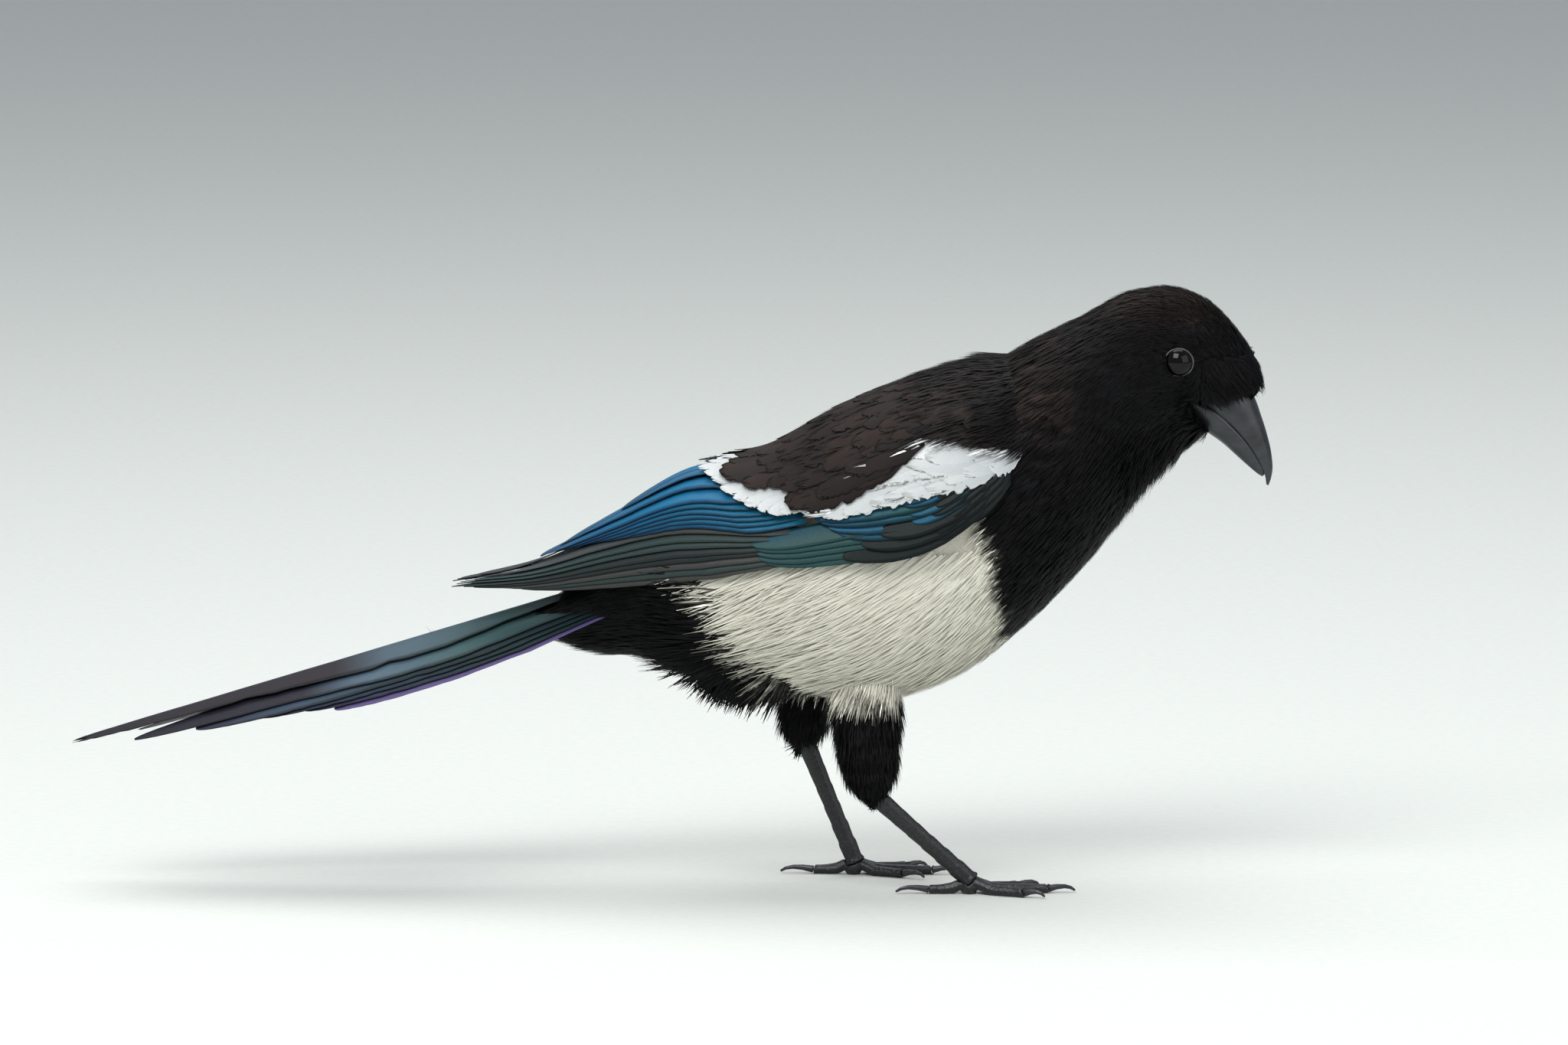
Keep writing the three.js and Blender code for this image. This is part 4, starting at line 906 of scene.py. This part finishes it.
def vane_material(name, rough, tint, turn, barb, shine):
    """Feather vanes: close, slanting barbs that look satin, with a turn of hue where they face away."""
    material, tree = blank_material(name)
    tone = add(tree, "ShaderNodeAttribute", {"attribute_name": "tone"}).outputs["Color"]
    vane_map = add(tree, "ShaderNodeUVMap", {"uv_map": "vane"}).outputs[0]
    split = add(tree, "ShaderNodeSeparateXYZ", Vector=vane_map)
    away = add(tree, "ShaderNodeMath", {"operation": "ABSOLUTE"}, _0=split.outputs["Y"]).outputs[0]
    slant = add(tree, "ShaderNodeMath", {"operation": "MULTIPLY_ADD"}, _0=away, _1=-1.1, _2=split.outputs["X"])
    line = add(tree, "ShaderNodeCombineXYZ", X=slant.outputs[0]).outputs[0]
    barbs = add(tree, "ShaderNodeTexNoise", {"noise_dimensions": "2D"}, Vector=line, Scale=1.3, Detail=4.0,
                Roughness=0.75)
    amount = add(tree, "ShaderNodeMapRange", Value=barbs.outputs["Fac"], From_Min=0.25, From_Max=0.75,
                 To_Min=1 - barb, To_Max=1 + barb).outputs[0]
    colour = add(tree, "ShaderNodeVectorMath", {"operation": "SCALE"}, _0=tone, Scale=amount).outputs[0]
    facing = add(tree, "ShaderNodeLayerWeight", Blend=0.35).outputs["Facing"]
    fade = add(tree, "ShaderNodeMath", {"operation": "MULTIPLY"}, _0=facing, _1=turn).outputs[0]
    turned = add(tree, "ShaderNodeMix", {"data_type": "RGBA", "blend_type": "MIX"}, _0=fade, _6=colour,
                 _7=hexa(tint))
    bump = add(tree, "ShaderNodeBump", Strength=0.35, Distance=0.0003, Height=barbs.outputs["Fac"])
    surface = add(tree, "ShaderNodeBsdfPrincipled", Base_Color=turned.outputs[2], Normal=bump.outputs[0],
                  Roughness=rough, IOR=1.54, Specular_IOR_Level=shine)
    add(tree, "ShaderNodeOutputMaterial", Surface=surface.outputs[0])
    return material


def keratin_material():
    """Keratin of bill and claws: dark, smooth, with fine growth lines and a satin gloss."""
    material, tree = blank_material("keratin")
    place = add(tree, "ShaderNodeTexCoord").outputs["Object"]
    stretch = add(tree, "ShaderNodeMapping", Vector=place, Rotation=(0, radians(60), 0), Scale=(120, 700, 700))
    grain = add(tree, "ShaderNodeTexNoise", Vector=stretch.outputs[0], Scale=1.0, Detail=5.0)
    cloud = add(tree, "ShaderNodeTexNoise", Vector=place, Scale=160.0, Detail=3.0)
    mixed = add(tree, "ShaderNodeMath", {"operation": "MULTIPLY_ADD"}, _0=grain.outputs["Fac"], _1=0.5,
                _2=cloud.outputs["Fac"])
    ramp = add(tree, "ShaderNodeValToRGB", Fac=mixed.outputs[0])
    ramp.color_ramp.elements[0].position = 0.5
    ramp.color_ramp.elements[0].color = hexa("#0b0c0e")
    ramp.color_ramp.elements[1].color = hexa("#2c3035")
    bump = add(tree, "ShaderNodeBump", Strength=0.25, Distance=0.0002, Height=mixed.outputs[0])
    surface = add(tree, "ShaderNodeBsdfPrincipled", Base_Color=ramp.outputs[0], Normal=bump.outputs[0],
                  Roughness=0.32, IOR=1.54)
    add(tree, "ShaderNodeOutputMaterial", Surface=surface.outputs[0])
    return material


def scale_material():
    """Leg skin: small hard scales with dull joints between them."""
    material, tree = blank_material("leg_scale")
    place = add(tree, "ShaderNodeTexCoord").outputs["Object"]
    plates = add(tree, "ShaderNodeTexVoronoi", {"feature": "DISTANCE_TO_EDGE"}, Vector=place, Scale=620.0)
    ramp = add(tree, "ShaderNodeValToRGB", Fac=plates.outputs["Distance"])
    ramp.color_ramp.elements[0].color = hexa("#050606")
    ramp.color_ramp.elements[1].position = 0.18
    ramp.color_ramp.elements[1].color = hexa("#191b1e")
    bump = add(tree, "ShaderNodeBump", Strength=0.7, Distance=0.0003, Height=plates.outputs["Distance"])
    surface = add(tree, "ShaderNodeBsdfPrincipled", Base_Color=ramp.outputs[0], Normal=bump.outputs[0],
                  Roughness=0.42)
    add(tree, "ShaderNodeOutputMaterial", Surface=surface.outputs[0])
    return material


def grained_material(name, scale, detail, dark, light, **finish):
    """A plain surface with a fine grain between two close shades, such as a cornea, a lid or the floor."""
    material, tree = blank_material(name)
    place = add(tree, "ShaderNodeTexCoord").outputs["Object"]
    grain = add(tree, "ShaderNodeTexNoise", Vector=place, Scale=scale, Detail=detail)
    ramp = add(tree, "ShaderNodeValToRGB", Fac=grain.outputs["Fac"])
    ramp.color_ramp.elements[0].color = hexa(dark)
    ramp.color_ramp.elements[1].color = hexa(light)
    surface = add(tree, "ShaderNodeBsdfPrincipled", Base_Color=ramp.outputs[0], **finish)
    add(tree, "ShaderNodeOutputMaterial", Surface=surface.outputs[0])
    return material


# Bill, eyes, legs
def bill_piece(name, rows, keel_first, material):
    """Half of the bill: an arch from the mouth's edge to its keel, closed by a nearly flat floor."""
    rows = spline(rows, 60)
    above, below, half = rows[:, 0:2], rows[:, 2:4], rows[:, 4]
    keel, mouth = (above, below) if keel_first else (below, above)
    arch = [(np.sin(v), max(np.cos(v), 0.0) ** 0.8) for v in np.linspace(-pi / 2, pi / 2, 29)]
    floor = [(w, -0.03 * (1 - w * w)) for w in np.linspace(0.9, -0.9, 9)]
    section = np.array(arch + floor)
    flat = np.zeros(len(rows))
    edge = np.stack([mouth[:, 0], flat, mouth[:, 1]], -1)
    rise = np.stack([keel[:, 0] - mouth[:, 0], flat, keel[:, 1] - mouth[:, 1]], -1)
    grid = edge[:, None] + rise[:, None] * section[None, :, 1:2]
    grid[:, :, 1] = half[:, None] * section[None, :, 0]
    mesh = new_mesh(name, grid.reshape(-1, 3), tube_faces(*grid.shape[:2]))
    turn_out(mesh)
    return new_piece(name, mesh, material)


LID_OUT = 3.1  # how far the rim of the lids lies out from the eye's centre
LID_HALF = 0.26  # half thickness of that rim


def eye_pieces(name, side, cornea, lid):
    """An eyeball, and the thin, slightly uneven rim of the lids around what shows of it."""
    centre = EYE * [1, side, 1]
    ball = bmesh.new()
    bmesh.ops.create_uvsphere(ball, u_segments=40, v_segments=28, radius=EYE_RADIUS * MM)
    for v in ball.verts:
        v.co.y, v.co.z = -v.co.z * side, v.co.y * side
        for axis in range(3):
            v.co[axis] += centre[axis] * MM
    mesh = bpy.data.meshes.new(name)
    ball.to_mesh(mesh)
    ball.free()
    shade_smooth(mesh)
    turn_out(mesh)
    around, sides = 72, 14
    uu, vv = np.meshgrid(np.linspace(0, 2 * pi, around, endpoint=False),
                         np.linspace(0, 2 * pi, sides, endpoint=False), indexing="ij")
    tube = LID_HALF + 0.06 * np.sin(uu * 11) * np.cos(uu * 5)
    far = np.sqrt(EYE_RADIUS**2 - LID_OUT**2) + 0.05 + tube * np.cos(vv)
    x = centre[0] + far * np.cos(uu) * 1.04
    z = centre[2] + far * np.sin(uu)
    y = centre[1] + side * (LID_OUT + tube * np.sin(vv) * 0.8)
    last = (around - 1) * sides
    closing = [[last + j, last + (j + 1) % sides, (j + 1) % sides, j] for j in range(sides)]
    points = np.stack([x, y, z], -1).reshape(-1, 3)
    lids = new_mesh("lid_" + name, points, grid_faces(around, sides) + closing)
    turn_out(lids)
    return new_piece(name, mesh, cornea), new_piece("lid_" + name, lids, lid)


def rounded(node, name, voxel, material, smooth, fuller=0.2):
    """A CAD node's own shape with its facets rounded off, and as much fuller as the rounding took away."""
    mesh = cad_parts[node].data.copy()
    mesh.materials.clear()
    piece = new_piece(name, mesh, material)
    weld = piece.modifiers.new("weld", "WELD")
    weld.merge_threshold = 1e-5
    melt = piece.modifiers.new("melt", "REMESH")
    melt.mode = "VOXEL"
    melt.voxel_size = voxel * MM
    soften = piece.modifiers.new("soften", "SMOOTH")
    soften.iterations = smooth
    soften.factor = 0.5
    fill = piece.modifiers.new("fill", "DISPLACE")
    fill.strength = fuller * MM
    fill.mid_level = 0
    graph = bpy.context.evaluated_depsgraph_get()
    result = bpy.data.meshes.new_from_object(piece.evaluated_get(graph), depsgraph=graph)
    piece.modifiers.clear()
    piece.data = result
    shade_smooth(result)
    if not result.materials:
        result.materials.append(material)
    return piece


# Camera, light and floor
LENS, SENSOR = 300, 36
VIEW_WIDTH = 0.532  # metres that the picture is wide at the bird
VIEW_DOWN = radians(8)
VIEW_CENTRE = (0.0387, 0, 0.1242)


def look_at(thing, place, target):
    thing.location = place
    thing.rotation_euler = (Vector(target) - Vector(place)).to_track_quat("-Z", "Y").to_euler()


def studio():
    """The photo's view from the bird's right side, soft daylight and a pale floor."""
    scene = bpy.context.scene
    camera = bpy.data.objects.new("camera", bpy.data.cameras.new("camera"))
    camera.data.lens = LENS
    camera.data.sensor_width = SENSOR
    away = VIEW_WIDTH * LENS / SENSOR
    x, _, z = VIEW_CENTRE
    look_at(camera, (x, -away * cos(VIEW_DOWN), z + away * sin(VIEW_DOWN)), VIEW_CENTRE)
    scene.collection.objects.link(camera)
    scene.camera = camera
    world = bpy.data.worlds.new("sky")
    world.use_nodes = True
    sky = world.node_tree.nodes["Background"].inputs
    sky["Color"].default_value = hexa("#dfe6ee")
    sky["Strength"].default_value = 0.5
    scene.world = world
    scene.view_settings.view_transform = "Standard"
    for name, place, size, power in (("key", (-0.5, -1.3, 1.7), 1.2, 34), ("fill", (1.4, -1.1, 0.8), 1.4, 9),
                                     ("top", (0.0, 0.5, 1.9), 1.6, 26)):
        lamp = bpy.data.lights.new(name, "AREA")
        lamp.size = size
        lamp.energy = power
        holder = bpy.data.objects.new(name, lamp)
        look_at(holder, place, (0.04, 0, 0.1))
        scene.collection.objects.link(holder)
    side = 12
    corners = [(-side, -side, 0), (side, -side, 0), (side, side, 0), (-side, side, 0)]
    floor = bpy.data.meshes.new("floor")
    floor.from_pydata(corners, [], [[0, 1, 2, 3]])
    pale = grained_material("pale_floor", 300.0, 2.0, "#cfd2cd", "#d9dcd7", Roughness=0.8)
    new_piece("floor", floor, pale)


def build():
    studio()
    # rough, sheen and its tint, shine, then the darkest and lightest streak as shares of the markings' colour
    # on black and brown the bright streaks are painted highlights on the barbs, on white a faint grain
    black = plumage_material("velvet_black_plumage", 0.5, 0.0, "#8ea2c8", 0.08, 0.5, 4.5)
    white = plumage_material("silky_white_plumage", 0.6, 0.05, "#ffffff", 0.3, 0.93, 1.04)
    brown = plumage_material("mantle_plumage", 0.5, 0.0, "#b0a090", 0.1, 0.5, 2.6)
    down = down_material()
    # rough, tint where the vane faces away and its share, contrast of the barbs, shine
    wing_vanes = vane_material("iridescent_wing_vane", 0.42, "#1c5f74", 0.14, 0.3, 0.16)
    tail_vanes = vane_material("iridescent_tail_vane", 0.42, "#444e78", 0.12, 0.3, 0.14)
    silk = vane_material("silky_white_vane", 0.6, "#ffffff", 0.05, 0.09, 0.3)
    soft = vane_material("soft_brown_vane", 0.55, "#6b5548", 0.08, 0.5, 0.1)
    horn, scales = keratin_material(), scale_material()
    # a dark brown iris under a wet cornea, which mirrors the light, and the dull grey skin of the lids
    cornea = grained_material("eye", 900.0, 4.0, "#030202", "#070403", Roughness=0.05, IOR=1.38,
                              Specular_IOR_Level=0.35)
    lid = grained_material("eyelid_skin", 2200.0, 3.0, "#1c1d20", "#55585d", Roughness=0.5)

    mesh, *skin_facts = skin_mesh()
    regions = dress_skin(mesh, *skin_facts)
    skin = new_piece("body_skin", mesh, down)
    back = new_piece("back_skin", back_mesh(), down)
    tree = plumage_tree()
    fine = tuft_store("fine_lock", 3, spread=0.3, droop=0.1)
    loose = tuft_store("loose_lock", 3, spread=0.45, droop=0.06)
    # tufts on a square millimetre, their width, their kind, the material and its slot
    looks = {
        "head": (1.15, 1.1, fine, black, "black_plumage"),
        "neck": (1.1, 1.6, fine, black, "black_plumage"),
        "breast": (0.95, 1.9, fine, black, "black_plumage"),
        "flank_right": (1.05, 1.4, loose, white, "white_plumage"),
        "flank_left": (1.05, 1.4, loose, white, "white_plumage"),
        "vent": (0.8, 1.9, loose, black, "black_plumage"),
        "thighs": (1.2, 1.5, loose, black, "black_plumage"),
    }
    pieces = []
    for seed, region in enumerate(regions, 1):
        *look, slot = looks[region]
        pieces.append((grow(tree, skin, region, *look, seed), slot))
    pieces.append((grow(tree, back, "mantle", 0.9, 1.8, fine, brown, 31, 0.15), "mantle_plumage"))
    shoulders = white_feathers(silk)
    mantle = mantle_feathers(soft)
    pieces += [(shoulders, "white_plumage"), (mantle, "mantle_plumage")]
    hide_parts("head", "neck", "breast", "belly", "rump", "thigh_right", "thigh_left")
    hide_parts("scapulars_right", "scapulars_left")
    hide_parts("mantle")
    pieces += [(skin, "black_plumage"), (back, "mantle_plumage")]
    for side, name in ((-1, "right"), (1, "left")):
        wing = wing_piece("wing_feathers_" + name, side, wing_vanes)
        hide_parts("wing_" + name)
        ball, lids = eye_pieces("eyeball_" + name, side, cornea, lid)
        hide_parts("eye_" + name)
        shank = rounded("tarsus_" + name, "shank_" + name, 0.35, scales, 3, 0.35)
        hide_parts("tarsus_" + name)
        toes = rounded("foot_" + name, "toes_" + name, 0.35, scales, 4)
        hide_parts("foot_" + name)
        pieces += [(wing, "wing_plumage"), (ball, "eye"), (lids, "leg_scales"), (shank, "leg_scales"),
                   (toes, "leg_scales")]
        for toe in ("middle", "inner", "outer", "hind"):
            claw = rounded(f"claw_{name}_{toe}", f"nail_{name}_{toe}", 0.18, horn, 2)
            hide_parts(f"claw_{name}_{toe}")
            pieces.append((claw, "horn"))
    tail = tail_piece(tail_vanes)
    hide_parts("tail")
    upper = bill_piece("upper_mandible", BILL_UPPER, True, horn)
    lower = bill_piece("lower_mandible", BILL_LOWER, False, horn)
    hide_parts("bill_upper")
    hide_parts("bill_lower")
    pieces += [(tail, "tail_plumage"), (upper, "horn"), (lower, "horn")]
    for piece, slot in pieces:
        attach(piece, "root")


build()
